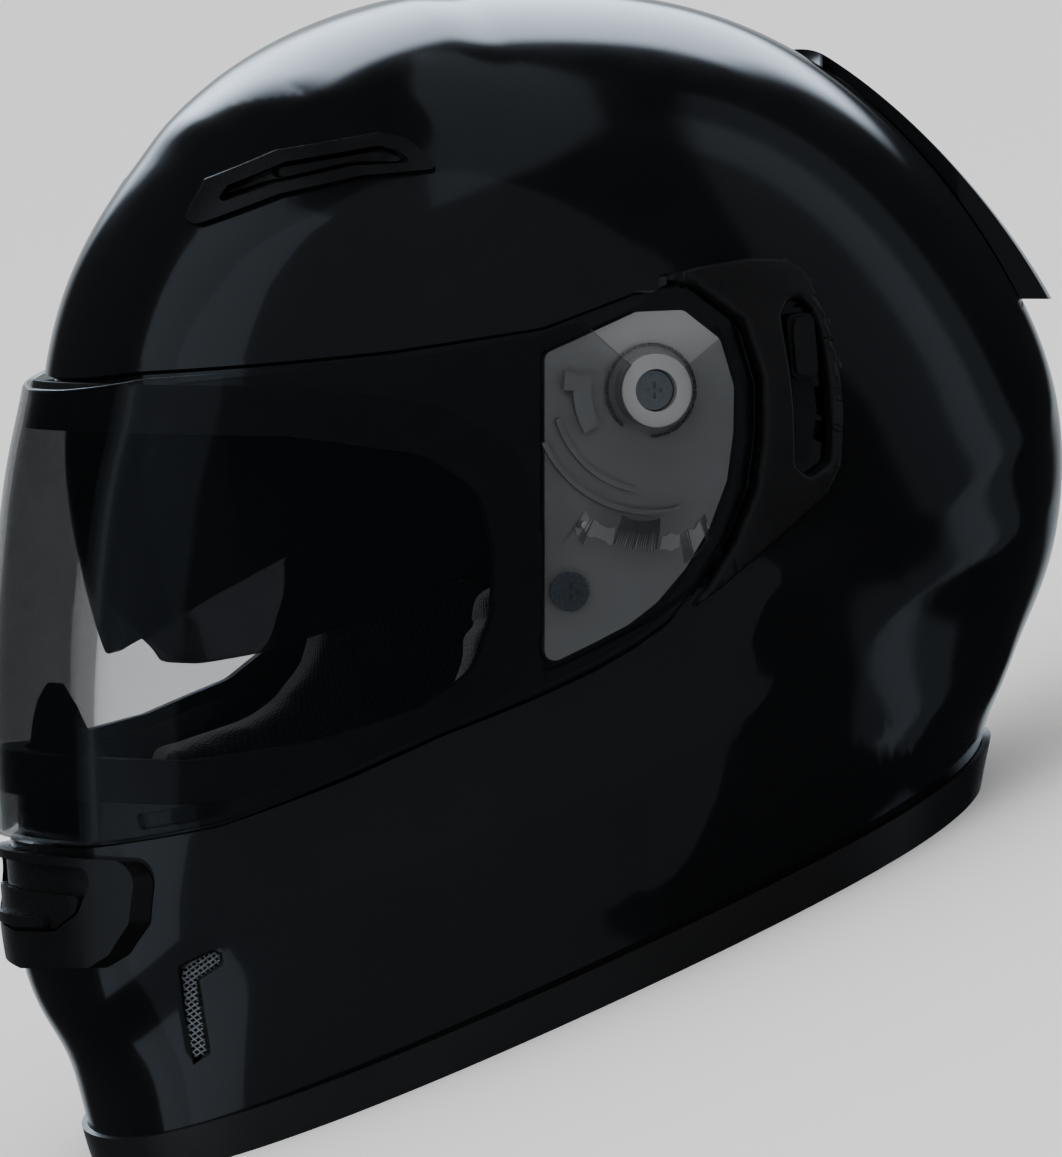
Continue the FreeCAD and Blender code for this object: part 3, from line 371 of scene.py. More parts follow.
class Patch:
    """Triangles on a form, which can be split along a field's zero line and trimmed by it."""

    def __init__(self, form: Form, stretch: Stretch) -> None:
        """Lays a regular grid of triangles over the stretch.

        Args:
            form: the surface.
            stretch: the part of it to cover.
        """
        self.form = form
        self.cell = stretch.cell
        first, last = (math.radians(v) for v in stretch.across)
        start, end = (math.radians(v) for v in stretch.turn)
        wide = max(int(form.half_width * 1.35 * (last - first) / 1.57 / stretch.cell), 4)
        long = max(int(form.radii.mean() * (end - start) / stretch.cell), 4)
        over, round_ = np.meshgrid(np.linspace(first, last, wide + 1), np.linspace(start, end, long + 1),
                                   indexing="ij")
        self.params = np.stack([over.ravel(), round_.ravel()], axis=1)
        corner = (np.arange(wide)[:, None] * (long + 1) + np.arange(long)[None, :]).ravel()
        a, b, c, d = corner, corner + long + 1, corner + long + 2, corner + 1
        self.tris = np.concatenate([np.stack([a, b, c], axis=1), np.stack([a, c, d], axis=1)])
        self.pinned = np.zeros(len(self.params), bool)

    def values(self, cut: Field, params: Points | None = None) -> np.ndarray:
        """A field at the patch's own corners, or at other parameters."""
        return cut(self.form.points(self.params if params is None else params))

    def settle(self, cut: Field) -> None:
        """Moves corners that lie close to the zero line onto it, which avoids slivers."""
        value = self.values(cut)
        near = np.flatnonzero((np.abs(value) < 0.3 * self.cell) & ~self.pinned)
        if not len(near):
            return
        base = self.params[near]
        step = 1e-4
        slopes, stretch = [], []
        here = self.form.points(base)
        for axis in (0, 1):
            moved = base.copy()
            moved[:, axis] += step
            slopes.append((self.values(cut, moved) - value[near]) / step)
            stretch.append(np.maximum(np.sum((self.form.points(moved) - here) ** 2, axis=1), 1e-18) / step**2)
        weight = slopes[0] ** 2 / stretch[0] + slopes[1] ** 2 / stretch[1]
        good = weight > 0.2
        for axis in (0, 1):
            shift = np.where(good, -value[near] * slopes[axis] / stretch[axis] / np.maximum(weight, 0.2), 0.0)
            base[:, axis] += shift
        moved_far = np.linalg.norm(self.form.points(base) - here, axis=1) > 0.6 * self.cell
        good &= ~moved_far
        self.params[near[good]] = base[good]
        self.pinned[near[good]] = True

    def split(self, cut: Field) -> None:
        """Splits every triangle that the zero line crosses, along the line."""
        self.settle(cut)
        value = self.values(cut)
        value[np.abs(value) < 0.02] = 0.0
        sign = np.sign(value)
        side = sign[self.tris]
        crossed = (side.max(axis=1) > 0) & (side.min(axis=1) < 0)
        cut_tris, rest = self.tris[crossed], self.tris[~crossed]
        if not len(cut_tris):
            return
        side = sign[cut_tris]
        touching = (side == 0).any(axis=1)
        lone_sign = -side.sum(axis=1)
        lone = np.where(touching, (side == 0).argmax(axis=1), (side == lone_sign[:, None]).argmax(axis=1))
        turned = cut_tris[np.arange(len(cut_tris))[:, None], (lone[:, None] + np.arange(3)) % 3]
        through, apart = turned[touching], turned[~touching]
        edges = np.concatenate([through[:, [1, 2]], apart[:, [0, 1]], apart[:, [0, 2]]])
        new = self._between(edges, value, cut)
        middle = new[: len(through)]
        first, second = new[len(through): len(through) + len(apart)], new[len(through) + len(apart):]
        pieces = [
            rest,
            np.stack([through[:, 0], through[:, 1], middle], axis=1),
            np.stack([through[:, 0], middle, through[:, 2]], axis=1),
            np.stack([apart[:, 0], first, second], axis=1),
            np.stack([first, apart[:, 1], second], axis=1),
            np.stack([apart[:, 1], apart[:, 2], second], axis=1),
        ]
        self.tris = np.concatenate(pieces)

    def _between(self, edges: np.ndarray, value: np.ndarray, cut: Field) -> np.ndarray:
        """New corners where the zero line crosses edges.

        Args:
            edges: pairs of corners with opposite signs.
            value: the field at every corner.
            cut: the field.

        Returns:
            The index of each edge's new corner.
        """
        pairs, which = np.unique(np.sort(edges, axis=1), axis=0, return_inverse=True)
        low, high = self.params[pairs[:, 0]], self.params[pairs[:, 1]]
        f_low, f_high = value[pairs[:, 0]], value[pairs[:, 1]]
        t_low, t_high = np.zeros(len(pairs)), np.ones(len(pairs))
        for _ in range(4):
            t = t_low + (t_high - t_low) * np.clip(f_low / (f_low - f_high), 0.05, 0.95)
            found = self.values(cut, low + (high - low) * t[:, None])
            same = np.sign(found) == np.sign(f_low)
            t_low, f_low = np.where(same, t, t_low), np.where(same, found, f_low)
            t_high, f_high = np.where(same, t_high, t), np.where(same, f_high, found)
        start = len(self.params)
        self.params = np.concatenate([self.params, low + (high - low) * t[:, None]])
        self.pinned = np.concatenate([self.pinned, np.ones(len(pairs), bool)])
        return start + which.ravel()

    def trim(self, cut: Field) -> None:
        """Splits along the zero line and keeps what lies inside."""
        self.split(cut)
        middle = self.form.points(self.params)[self.tris].mean(axis=1)
        self.tris = self.tris[cut(middle) > 0]
        used, fresh = np.unique(self.tris, return_inverse=True)
        self.params, self.pinned = self.params[used], self.pinned[used]
        self.tris = fresh.reshape(-1, 3)


@dataclass
class Panel:
    """A solid panel cut from a form: its trim, its two faces' offsets and its rolled edge."""

    form: Form
    trim: Field
    outer: float
    inner: float
    stretch: Stretch
    roll: float = 0.0
    relief: Field | None = None
    lines: Sequence[Field] = ()
    follow: bool = True
    shape: tuple[Callable[[Points], Points], Callable[[Points], Points]] | None = None

    def rise(self, at: Points) -> np.ndarray:
        """Height of the outer face above the form: its offset and relief, less the roll of its edge."""
        drop = np.zeros(len(at))
        if self.roll:
            depth = np.clip(self.trim(at), 0.0, self.roll)
            drop = self.roll - np.sqrt(np.maximum(self.roll**2 - (self.roll - depth) ** 2, 0.0))
        return self.outer + (self.relief(at) if self.relief else 0.0) - drop

    def leaned(self, base: Points, normal: Points) -> Points:
        """The form's normals, leaned back by the slope of the rise along the surface."""
        aside = np.where(np.abs(normal[:, [0]]) < 0.8, [[1.0, 0.0, 0.0]], [[0.0, 1.0, 0.0]])
        first = np.cross(normal, aside)
        first /= np.linalg.norm(first, axis=1)[:, None]
        second = np.cross(normal, first)
        step = 0.25
        result = normal.copy()
        for along in (first, second):
            slope = (self.rise(base + step * along) - self.rise(base - step * along)) / (2 * step)
            result -= slope[:, None] * along
        return result / np.linalg.norm(result, axis=1)[:, None]

    def patch(self) -> Patch:
        """The trimmed stretch of the form, split along the roll's rings and the panel's lines."""
        patch = Patch(self.form, self.stretch)
        patch.trim(lambda at: self.trim(at) + 3 * self.stretch.cell)
        patch.trim(self.trim)
        for share in (0.12, 0.45, 1.0) if self.roll else ():
            patch.split(lambda at, share=share: self.trim(at) - share * self.roll)
        for line in self.lines:
            patch.split(line)
        return patch

    def build(self, shop: "Workshop", name: str, slot: "Slot", body: str,
              nodes: Sequence[str] = ()) -> bpy.types.Object:
        """Cuts, thickens and dresses the panel.

        Args:
            shop: the workshop.
            name: the piece's name.
            slot: its finish.
            body: the body it rides on.
            nodes: the CAD nodes it stands for.

        Returns:
            The new object.
        """
        patch = self.patch()
        base, normal = self.form.points(patch.params), self.form.normals(patch.params)
        lift = self.relief(base) if self.relief and self.follow else 0.0
        top = base + normal * self.rise(base)[:, None]
        under = base + normal * (self.inner + lift + np.zeros(len(base)))[:, None]
        facing = self.leaned(base, normal)
        if self.shape:
            raised = top
            top, under = self.shape[0](top), self.shape[1](under)
            sunk = np.linalg.norm(top - raised, axis=1) > 0.05
            facing[sunk] = np.stack([np.sign(base[sunk, 0]), 0 * base[sunk, 0], 0 * base[sunk, 0]], axis=1)
        points, faces, normals = self._close(top, under, facing, -normal, patch.tris)
        return shop.piece(name, to_row(points), faces, slot, body, nodes, normals)

    @staticmethod
    def _close(top: Points, under: Points, facing: Points, back: Points,
               tris: np.ndarray) -> tuple[Points, list[list[int]], Points]:
        """Welds the seam where the stretch meets itself and joins the two faces round the rim.

        Args:
            top: the outer face's corners.
            under: the inner face's corners.
            facing: the outer face's shading normals.
            back: the inner face's shading normals.
            tris: the triangles of either face.

        Returns:
            All corners, the faces turned outwards, and a row-frame normal for each face's corners in turn.
        """
        _, first, which = np.unique(np.round(top, 3), axis=0, return_index=True, return_inverse=True)
        tris = which.ravel()[tris]
        top, under, facing, back = top[first], under[first], facing[first], back[first]
        sound = (tris[:, 0] != tris[:, 1]) & (tris[:, 1] != tris[:, 2]) & (tris[:, 0] != tris[:, 2])
        tris = tris[sound]
        corner = top[tris]
        flat = np.cross(corner[:, 1] - corner[:, 0], corner[:, 2] - corner[:, 0])
        wrong = np.sum(flat * (top - under)[tris].mean(axis=1), axis=1) < 0
        tris[wrong] = tris[wrong][:, ::-1]
        flat[wrong] = -flat[wrong]
        flat /= np.maximum(np.linalg.norm(flat, axis=1), 1e-9)[:, None]
        shade = facing[tris]
        steep = np.sum(shade * flat[:, None, :], axis=2) < 0.75
        shade = np.where(steep[:, :, None], flat[:, None, :], shade)
        count = len(top)
        edges = np.concatenate([tris[:, [0, 1]], tris[:, [1, 2]], tris[:, [2, 0]]])
        _, index, times = np.unique(np.sort(edges, axis=1), axis=0, return_index=True, return_counts=True)
        rim = edges[index[times == 1]]
        wall = np.stack([rim[:, 1], rim[:, 0], rim[:, 0] + count, rim[:, 1] + count], axis=1)
        across = np.cross(top[rim[:, 1]] - top[rim[:, 0]], top[rim[:, 0]] - under[rim[:, 0]])
        across /= np.maximum(np.linalg.norm(across, axis=1), 1e-9)[:, None]
        faces = tris.tolist() + (tris[:, ::-1] + count).tolist() + wall.tolist()
        normals = np.concatenate([shade.reshape(-1, 3), back[tris[:, ::-1]].reshape(-1, 3),
                                  np.repeat(across, 4, axis=0)])
        return np.concatenate([top, under]), faces, turned(normals)


# --- finishes ------------------------------------------------------------------------------------------

Link = bpy.types.NodeSocket


class Graph:
    """A material's node tree round its principled shader, with patterns laid on object coordinates."""

    def __init__(self, name: str, **sockets: object) -> None:
        """Starts a material.

        Args:
            name: the material's name.
            sockets: values of the shader's sockets, with underscores for the spaces in their names.
        """
        self.material = bpy.data.materials.new(name)
        self.material.use_nodes = True
        self.tree = self.material.node_tree
        self.shader = self.tree.nodes["Principled BSDF"]
        self.output = self.tree.nodes["Material Output"]
        for socket, value in sockets.items():
            self.shader.inputs[socket.replace("_", " ")].default_value = value
        self.place = self.add("ShaderNodeTexCoord").outputs["Object"]

    def add(self, kind: str, values: dict[object, object] | None = None, **settings: object) -> bpy.types.Node:
        """Adds a node; a value that is a socket is linked, and any other is set.

        Args:
            kind: the node's type.
            values: what goes to each input, by name or number.
            settings: the node's own properties.

        Returns:
            The node.
        """
        node = self.tree.nodes.new(kind)
        for key, value in settings.items():
            setattr(node, key, value)
        for key, value in (values or {}).items():
            if isinstance(value, Link):
                self.tree.links.new(value, node.inputs[key])
            else:
                node.inputs[key].default_value = value
        return node

    def noise(self, scale: float, detail: float = 4.0, roughness: float = 0.55) -> Link:
        """Cloudy noise of that many cells a metre."""
        values = {"Vector": self.place, "Scale": scale, "Detail": detail, "Roughness": roughness}
        return self.add("ShaderNodeTexNoise", values).outputs["Fac"]

    def cells(self, scale: float, feature: str = "F1") -> Link:
        """Distance within a scatter of cells, that many a metre."""
        return self.add("ShaderNodeTexVoronoi", {"Vector": self.place, "Scale": scale},
                        feature=feature).outputs["Distance"]

    def ramp(self, value: Link, low: float, high: float, to_low: float, to_high: float) -> Link:
        """value carried from one span to another, held at its ends."""
        values = {"Value": value, "From Min": low, "From Max": high, "To Min": to_low, "To Max": to_high}
        return self.add("ShaderNodeMapRange", values).outputs["Result"]

    def sum(self, first: Link, second: Link, operation: str = "ADD") -> Link:
        """Two values put together."""
        return self.add("ShaderNodeMath", {0: first, 1: second}, operation=operation).outputs[0]

    def between(self, share: Link, low: tuple[float, ...], high: tuple[float, ...]) -> Link:
        """A colour between two, by share."""
        node = self.add("ShaderNodeMix", {"Factor": share}, data_type="RGBA")
        node.inputs["A"].default_value = (*low, 1.0)
        node.inputs["B"].default_value = (*high, 1.0)
        return [socket for socket in node.outputs if socket.type == "RGBA"][0]

    def feed(self, socket: str, value: Link) -> None:
        """Links a value to one of the shader's sockets."""
        self.tree.links.new(value, self.shader.inputs[socket])

    def bump(self, height: Link, strength: float, distance: float, normal: Link | None = None) -> Link:
        """Turns a height into a bumped normal on the shader.

        Args:
            height: the height pattern.
            strength: how strongly it acts.
            distance: the height of a full step, in metres.
            normal: a bump that this one lies on.

        Returns:
            The normal's socket.
        """
        values: dict[object, object] = {"Height": height, "Strength": strength, "Distance": distance}
        if normal is not None:
            values["Normal"] = normal
        result = self.add("ShaderNodeBump", values).outputs["Normal"]
        self.feed("Normal", result)
        return result


@dataclass(frozen=True)
class GlossPaint:
    """Deep gloss lacquer over a moulded shell, with faint orange peel."""

    name: str = "black_lacquer"
    colour: tuple[float, float, float] = (0.0018, 0.0019, 0.0022)

    def build(self) -> bpy.types.Material:
        """Base coat under clear lacquer; the peel is a 3 mm swell of a few micrometres."""
        graph = Graph(self.name, Roughness=0.16, Coat_Weight=1.0, Coat_Roughness=0.03, Specular_IOR_Level=0.35)
        cloud = graph.noise(24.0, 2.0)
        graph.feed("Base Color", graph.between(cloud, self.colour, tuple(1.7 * c for c in self.colour)))
        graph.feed("Roughness", graph.ramp(graph.noise(60.0), 0.3, 0.7, 0.13, 0.19))
        peel = graph.noise(320.0, 1.0)
        normal = graph.bump(peel, 0.02, 0.0002)
        graph.tree.links.new(normal, graph.shader.inputs["Coat Normal"])
        return graph.material


@dataclass(frozen=True)
class MouldedPlastic:
    """Injection-moulded plastic with a fine spark-eroded grain."""

    name: str
    colour: tuple[float, float, float]
    roughness: float
    grain: float = 2200.0
    depth: float = 0.12
    coat: float = 0.0

    def build(self) -> bpy.types.Material:
        """Fine grain, clouded colour and roughness that varies with handling."""
        graph = Graph(self.name, Coat_Weight=self.coat, Coat_Roughness=0.08)
        cloud = graph.noise(35.0, 3.0)
        graph.feed("Base Color", graph.between(cloud, tuple(0.8 * c for c in self.colour),
                                               tuple(1.25 * c for c in self.colour)))
        graph.feed("Roughness", graph.ramp(graph.noise(90.0, 5.0), 0.3, 0.7, self.roughness * 0.82,
                                           min(self.roughness * 1.18, 1.0)))
        grain = graph.sum(graph.cells(self.grain), graph.noise(self.grain * 0.6, 2.0))
        graph.bump(grain, self.depth, 0.0001)
        return graph.material


@dataclass(frozen=True)
class BareMetal:
    """Plated or drawn steel with fine scratches along one way."""

    name: str
    colour: tuple[float, float, float] = (0.56, 0.57, 0.58)
    roughness: float = 0.22

    def build(self) -> bpy.types.Material:
        """Scratches are noise stretched along X."""
        graph = Graph(self.name, Metallic=1.0)
        stretched = graph.add("ShaderNodeMapping", {"Vector": graph.place, "Scale": (60.0, 1500.0, 1500.0)})
        scratch = graph.add("ShaderNodeTexNoise", {"Vector": stretched.outputs[0], "Scale": 1.0, "Detail": 3.0})
        wear = graph.noise(140.0, 5.0)
        graph.feed("Base Color", graph.between(wear, tuple(0.75 * c for c in self.colour), self.colour))
        graph.feed("Roughness", graph.ramp(scratch.outputs["Fac"], 0.3, 0.7, self.roughness * 0.6,
                                           self.roughness * 1.5))
        graph.bump(scratch.outputs["Fac"], 0.08, 0.0001)
        return graph.material


@dataclass(frozen=True)
class Glazing:
    """Clear or smoked sheet: what doesn't mirror at its surface passes through it, tinted."""

    name: str
    tint: tuple[float, float, float]
    haze: float = 0.02
    floor: float = 0.04

    def build(self) -> bpy.types.Material:
        """The mirror's share grows towards grazing angles; faint wiping marks haze it."""
        graph = Graph(self.name, Base_Color=(0.004, 0.0045, 0.005, 1.0), Specular_IOR_Level=1.0,
                      Coat_Weight=1.0, Coat_Roughness=0.01)
        marks = graph.noise(18.0, 6.0, 0.7)
        graph.feed("Roughness", graph.ramp(marks, 0.35, 0.7, self.haze, self.haze * 2.5))
        facing = graph.add("ShaderNodeLayerWeight", {"Blend": 0.22}).outputs["Fresnel"]
        share = graph.ramp(facing, 0.0, 1.0, self.floor, 0.75)
        clear = graph.add("ShaderNodeBsdfTransparent", {"Color": (*self.tint, 1.0)})
        mix = graph.add("ShaderNodeMixShader", {0: share})
        graph.tree.links.new(clear.outputs[0], mix.inputs[1])
        graph.tree.links.new(graph.shader.outputs[0], mix.inputs[2])
        graph.tree.links.new(mix.outputs[0], graph.output.inputs["Surface"])
        return graph.material


@dataclass(frozen=True)
class Knit:
    """Brushed knitted lining: a diagonal rib of loops with fuzz over it."""

    name: str
    colour: tuple[float, float, float]
    pitch: float = 0.0016
    sheen: float = 0.5

    def build(self) -> bpy.types.Material:
        """Two crossed waves make the loops; darker gaps between them, lighter fuzz on top."""
        graph = Graph(self.name, Roughness=0.95, Sheen_Weight=self.sheen, Sheen_Roughness=0.45,
                      Specular_IOR_Level=0.2)
        turn = 2 * math.pi / self.pitch
        parts = graph.add("ShaderNodeSeparateXYZ", {0: graph.place})
        wobble = graph.ramp(graph.noise(500.0), 0.0, 1.0, -0.8, 0.8)
        waves = []
        for first, second, sign in (("X", "Z", "ADD"), ("X", "Z", "SUBTRACT"), ("Y", "X", "ADD")):
            run = graph.sum(parts.outputs[first], parts.outputs[second], sign)
            scaled = graph.add("ShaderNodeMath", {0: run, 1: turn, 2: wobble}, operation="MULTIPLY_ADD")
            waves.append(graph.add("ShaderNodeMath", {0: scaled.outputs[0]}, operation="SINE").outputs[0])
        loops = graph.sum(graph.sum(waves[0], waves[1], "MULTIPLY"), waves[2])
        fuzz = graph.noise(2600.0, 3.0)
        tone = graph.ramp(graph.sum(loops, fuzz), -0.8, 1.8, 0.0, 1.0)
        graph.feed("Base Color", graph.between(tone, tuple(0.55 * c for c in self.colour),
                                               tuple(1.5 * c for c in self.colour)))
        under = graph.bump(loops, 0.35, 0.0004)
        graph.bump(fuzz, 0.25, 0.0002, under)
        return graph.material


@dataclass(frozen=True)
class BeadFoam:
    """Expanded bead foam: rounded beads a few millimetres across, packed tight."""

    name: str = "bead_foam"
    colour: tuple[float, float, float] = (0.022, 0.022, 0.024)

    def build(self) -> bpy.types.Material:
        """Cell distance gives each bead its swell and its dark joints."""
        graph = Graph(self.name, Roughness=0.8)
        beads = graph.cells(300.0)
        joint = graph.ramp(beads, 0.3, 0.65, 1.0, 0.0)
        graph.feed("Base Color", graph.between(joint, tuple(0.45 * c for c in self.colour), self.colour))
        graph.feed("Roughness", graph.ramp(beads, 0.0, 0.6, 0.6, 0.95))
        graph.bump(beads, -0.5, 0.0006)
        return graph.material


@dataclass(frozen=True)
class Webbing:
    """Woven strap: ribs across it and a herringbone along them, laid on the strap's own UV map."""

    name: str = "strap_webbing"
    colour: tuple[float, float, float] = (0.012, 0.012, 0.014)

    def build(self) -> bpy.types.Material:
        """The UV map runs in millimetres, along the strap in U and round it in V."""
        graph = Graph(self.name, Roughness=0.72, Sheen_Weight=0.25, Sheen_Roughness=0.4)
        flat = graph.add("ShaderNodeUVMap", uv_map="strap").outputs[0]
        parts = graph.add("ShaderNodeSeparateXYZ", {0: flat})
        zigzag = graph.add("ShaderNodeMath", {0: parts.outputs[1], 1: 2.4}, operation="PINGPONG").outputs[0]
        run = graph.sum(parts.outputs[0], zigzag)
        across = graph.add("ShaderNodeMath", {0: run, 1: 5.2}, operation="MULTIPLY").outputs[0]
        rib = graph.add("ShaderNodeMath", {0: across}, operation="SINE").outputs[0]
        along = graph.add("ShaderNodeMath", {0: parts.outputs[1], 1: 7.0}, operation="MULTIPLY").outputs[0]
        warp = graph.add("ShaderNodeMath", {0: along}, operation="SINE").outputs[0]
        weave = graph.sum(rib, warp)
        tone = graph.ramp(weave, -1.6, 1.6, 0.0, 1.0)
        graph.feed("Base Color", graph.between(tone, tuple(0.4 * c for c in self.colour),
                                               tuple(1.9 * c for c in self.colour)))
        graph.bump(weave, 0.4, 0.0003)
        return graph.material


class Slot(Enum):
    """Material slots of the record, each with its finish."""

    SHELL = ("shell", GlossPaint())
    TRIM = ("trim", MouldedPlastic("edge_trim_plastic", (0.006, 0.006, 0.0065), 0.34, depth=0.05))
    GASKET = ("gasket", MouldedPlastic("gasket_rubber", (0.0035, 0.0035, 0.0037), 0.62, 900.0))
    POD = ("pod", MouldedPlastic("pod_plastic", (0.004, 0.004, 0.0045), 0.3, depth=0.06, coat=0.25))
    SATIN = ("satin_plastic", MouldedPlastic("satin_plastic", (0.003, 0.003, 0.0034), 0.27, depth=0.05))
    PLATE = ("plate", MouldedPlastic("plate_plastic", (0.15, 0.155, 0.16), 0.38, depth=0.08))
    STEEL = ("steel", BareMetal("plated_steel"))
    MESH = ("mesh", BareMetal("mesh_wire", (0.75, 0.76, 0.77), 0.42))
    VISOR = ("visor_clear", Glazing("visor_sheet", (0.88, 0.885, 0.89), 0.02, 0.09))
    SHADE = ("shade_smoke", Glazing("shade_sheet", (0.16, 0.165, 0.175), 0.03, 0.06))
    FOAM = ("foam", BeadFoam())
    LINING = ("lining", Knit("knitted_lining", (0.014, 0.014, 0.016)))
    WEBBING = ("webbing", Webbing())

    @property
    def word(self) -> str:
        """The slot's name in the record."""
        return self.value[0]


class Workshop:
    """Keeps the built finishes, dresses CAD nodes and makes new pieces."""

    def __init__(self) -> None:
        """Builds each finish once."""
        self.finishes = {slot: slot.value[1].build() for slot in Slot}

    def dress(self, node: str, slot: Slot) -> None:
        """Gives a CAD node a slot's finish."""
        piece = frame["nodes"][node]
        piece.data.materials.clear()
        piece.data.materials.append(self.finishes[slot])
        LOG.info("dressed %s as %s", node, slot.word)

    def piece(self, name: str, points: Points, faces: Sequence[Sequence[int]], slot: Slot, body: str,
              nodes: Sequence[str] = (), normals: Points | None = None,
              crease: float = 35.0) -> bpy.types.Object:
        """Makes a piece from row-frame points.

        Args:
            name: the piece's name.
            points: its corners, in metres.
            faces: its faces, turned outwards.
            slot: its finish.
            body: the body it rides on.
            nodes: the CAD nodes it stands for.
            normals: shading normals for each face's corners in turn.
            crease: without normals, the angle past which an edge is sharp, in degrees.

        Returns:
            The new object.
        """
        mesh = bpy.data.meshes.new(name)
        mesh.from_pydata(points.tolist(), [], faces)
        mesh.polygons.foreach_set("use_smooth", np.ones(len(mesh.polygons), bool))
        mesh.materials.append(self.finishes[slot])
        if normals is None:
            mesh.set_sharp_from_angle(angle=math.radians(crease))
        else:
            mesh.normals_split_custom_set(normals.tolist())
        mesh.update()
        made = bpy.data.objects.new(name, mesh)
        bpy.context.scene.collection.objects.link(made)
        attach(made, body)
        slot.word
        if nodes:
            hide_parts(*nodes)
        LOG.info("built %s: %d faces", name, len(mesh.polygons))
        return made


# --- outlines shared by the panels ---------------------------------------------------------------------

SHELL_POINTS = [
    (-139.5, 0), (-133.5, 26), (-121.5, 50), (-103, 73), (-76, 94), (-40, 107.5), (0, 111), (40, 106.5),
    (77, 90), (107, 64), (130, 33), (144, 2), (147, -30), (142, -56), (131, -80), (125, -95), (121, -112),
    (112, -160), (85, -220), (30, -270), (-40, -285), (-95, -262), (-126.5, -213), (-132, -194),
    (-141.5, -177), (-147, -160), (-149, -140), (-150, -120), (-148, -90), (-145, -50), (-141.5, -20),
]
VISOR_POINTS = [
    (-145.4, 0), (-141, 28), (-130, 56), (-110, 82), (-80, 102), (-42, 115), (0, 119), (42, 114), (80, 98),
    (112, 72), (138, 38), (152, 2), (155, -30), (150, -60), (135, -100), (120, -165), (88, -228), (30, -275),
    (-42, -290), (-98, -262), (-132, -213), (-148, -170), (-154, -127), (-155.4, -100), (-155.2, -75),
    (-153.3, -48), (-150, -22),
]
SHADE_POINTS = [
    (-134.0, 23), (-131.5, 40), (-120, 66), (-98, 94), (-60, 120), (0, 134), (60, 122), (104, 88), (128, 40),
    (134, -10), (122, -70), (80, -118), (10, -135), (-60, -118), (-104, -77), (-122.3, -41), (-130.6, -11),
    (-133.6, 8),
]
SHELL_FORM = Form(SHELL_POINTS, 122.5)
VISOR_FORM = Form(VISOR_POINTS, 125.2)
SHADE_FORM = Form(SHADE_POINTS, 108.0, SHADE_DROP)

PORT_EDGE = [
    (FAR, -9), (-97, -9.5), (-62, -14), (-45, -24), (-40.5, -44), (-41.5, -64), (-47, -81), (-62, -91),
    (-90, -100), (-121, -105.5), (FAR, -106),
]
VISOR_EDGE = [
    (FAR, -1), (-145, -0.8), (-130, 3.2), (-98, 6.5), (-72, 9.5), (-31, 16), (-4, 26), (11, 26.5), (24, 17),
    (28.5, 1), (28.3, -13), (26.5, -27), (20.6, -41), (13.3, -52.4), (4.5, -63), (-4.5, -69.3), (-16, -75.6),
    (-33.4, -83.5), (-59, -93.8), (-83, -105.5), (-115, -119.2), (-144, -126.9), (FAR, -127.4),
]
POD_EDGE = [
    (0.5, 30.5), (13.3, 34), (28, 36.3), (39.7, 36), (45, 32.5), (50.5, 21.2), (54, 7), (55, -7),
    (54.4, -21.2), (50.5, -29), (42.6, -35.5), (30.9, -45), (19.2, -54.6), (8.4, -62.2), (15, -54),
    (22.6, -42), (28.8, -27.5), (30.6, -13), (30.6, 3), (25.5, 19), (12, 29),
]
POCKET_EDGE = [
    (-32, 11.5), (-4, 23.5), (2, 28.5), (14, 31.5), (28, 33.8), (38.5, 33.5), (43, 30.5), (48, 20),
    (51.3, 7), (52.3, -7), (51.8, -20), (48.3, -27), (41, -33.2), (29.5, -42.5), (18, -51.5), (7, -59.5),
    (-6, -67), (-16, -72), (-32, -79),
]
SLOT_EDGE = [
    (36.5, 20), (38.5, 24), (42, 25.5), (46, 22), (48, 16), (50.6, 2), (51.6, -12), (51, -20),
    (45, -24.4), (40.5, -21), (40, -6), (39, 4),
]
BROW_EDGE = [(-117.6, 43.8), (-109, 58), (-93, 66), (-68, 71), (-62, 69.5), (-55, 61), (-75, 59), (-95, 54)]
BROW_TRAY = [(-112, 48.6), (-106.5, 56.8), (-92, 63.8), (-68.6, 68.6), (-63.6, 67.2), (-58.8, 62.2),
             (-75.5, 61), (-95, 56)]
JAW_EDGE = [(-121.5, -160.5), (-112.5, -154.5), (-111.5, -158.5), (-117, -163.5), (-113.2, -184),
            (-116.5, -187)]
SHADE_EDGE = [
    (FAR, -6), (-120, -4), (-60, -6), (-24, -24), (-4, -28), (8, -30), (9.5, -37), (4, -43.5), (-18, -45.5),
    (-42, -48.5), (-68, -60), (-96, -72.5), (-112, -77), (FAR, -77.5),
]
NOSE_EDGE = [(-39, -86), (39, -86), (30, -73), (14, -64.5), (0, -59), (-14, -64.5), (-30, -73)]
TAB_EDGE = [(-133, -117), (-118.5, -113.6), (-118, -117), (-122, -119), (-132, -121.5)]
BROW_INNER = 38.0
RATCHET = 42.0


# --- panels --------------------------------------------------------------------------------------------


@dataclass
class Crease:
    """A styling line pressed into the shell: a soft ridge that falls away on both sides.

    The lift is height x exp(-s / length), with s the rounded distance from the line and a length of its own
    on each side of it.
    """

    points: Sequence[tuple[float, float]]
    height: float
    above: float
    below: float
    crest: float = 3.0
    fade: float = 25.0

    def lift(self, at: Points) -> np.ndarray:
        """The lift of the surface at each point, in millimetres."""
        line = Line(self.points)
        d = line.above(at)
        s = np.sqrt(d**2 + self.crest**2) - self.crest
        reach = np.where(d > 0, self.above, self.below)
        return self.height * np.exp(-s / reach) * line.fade(at, self.fade)


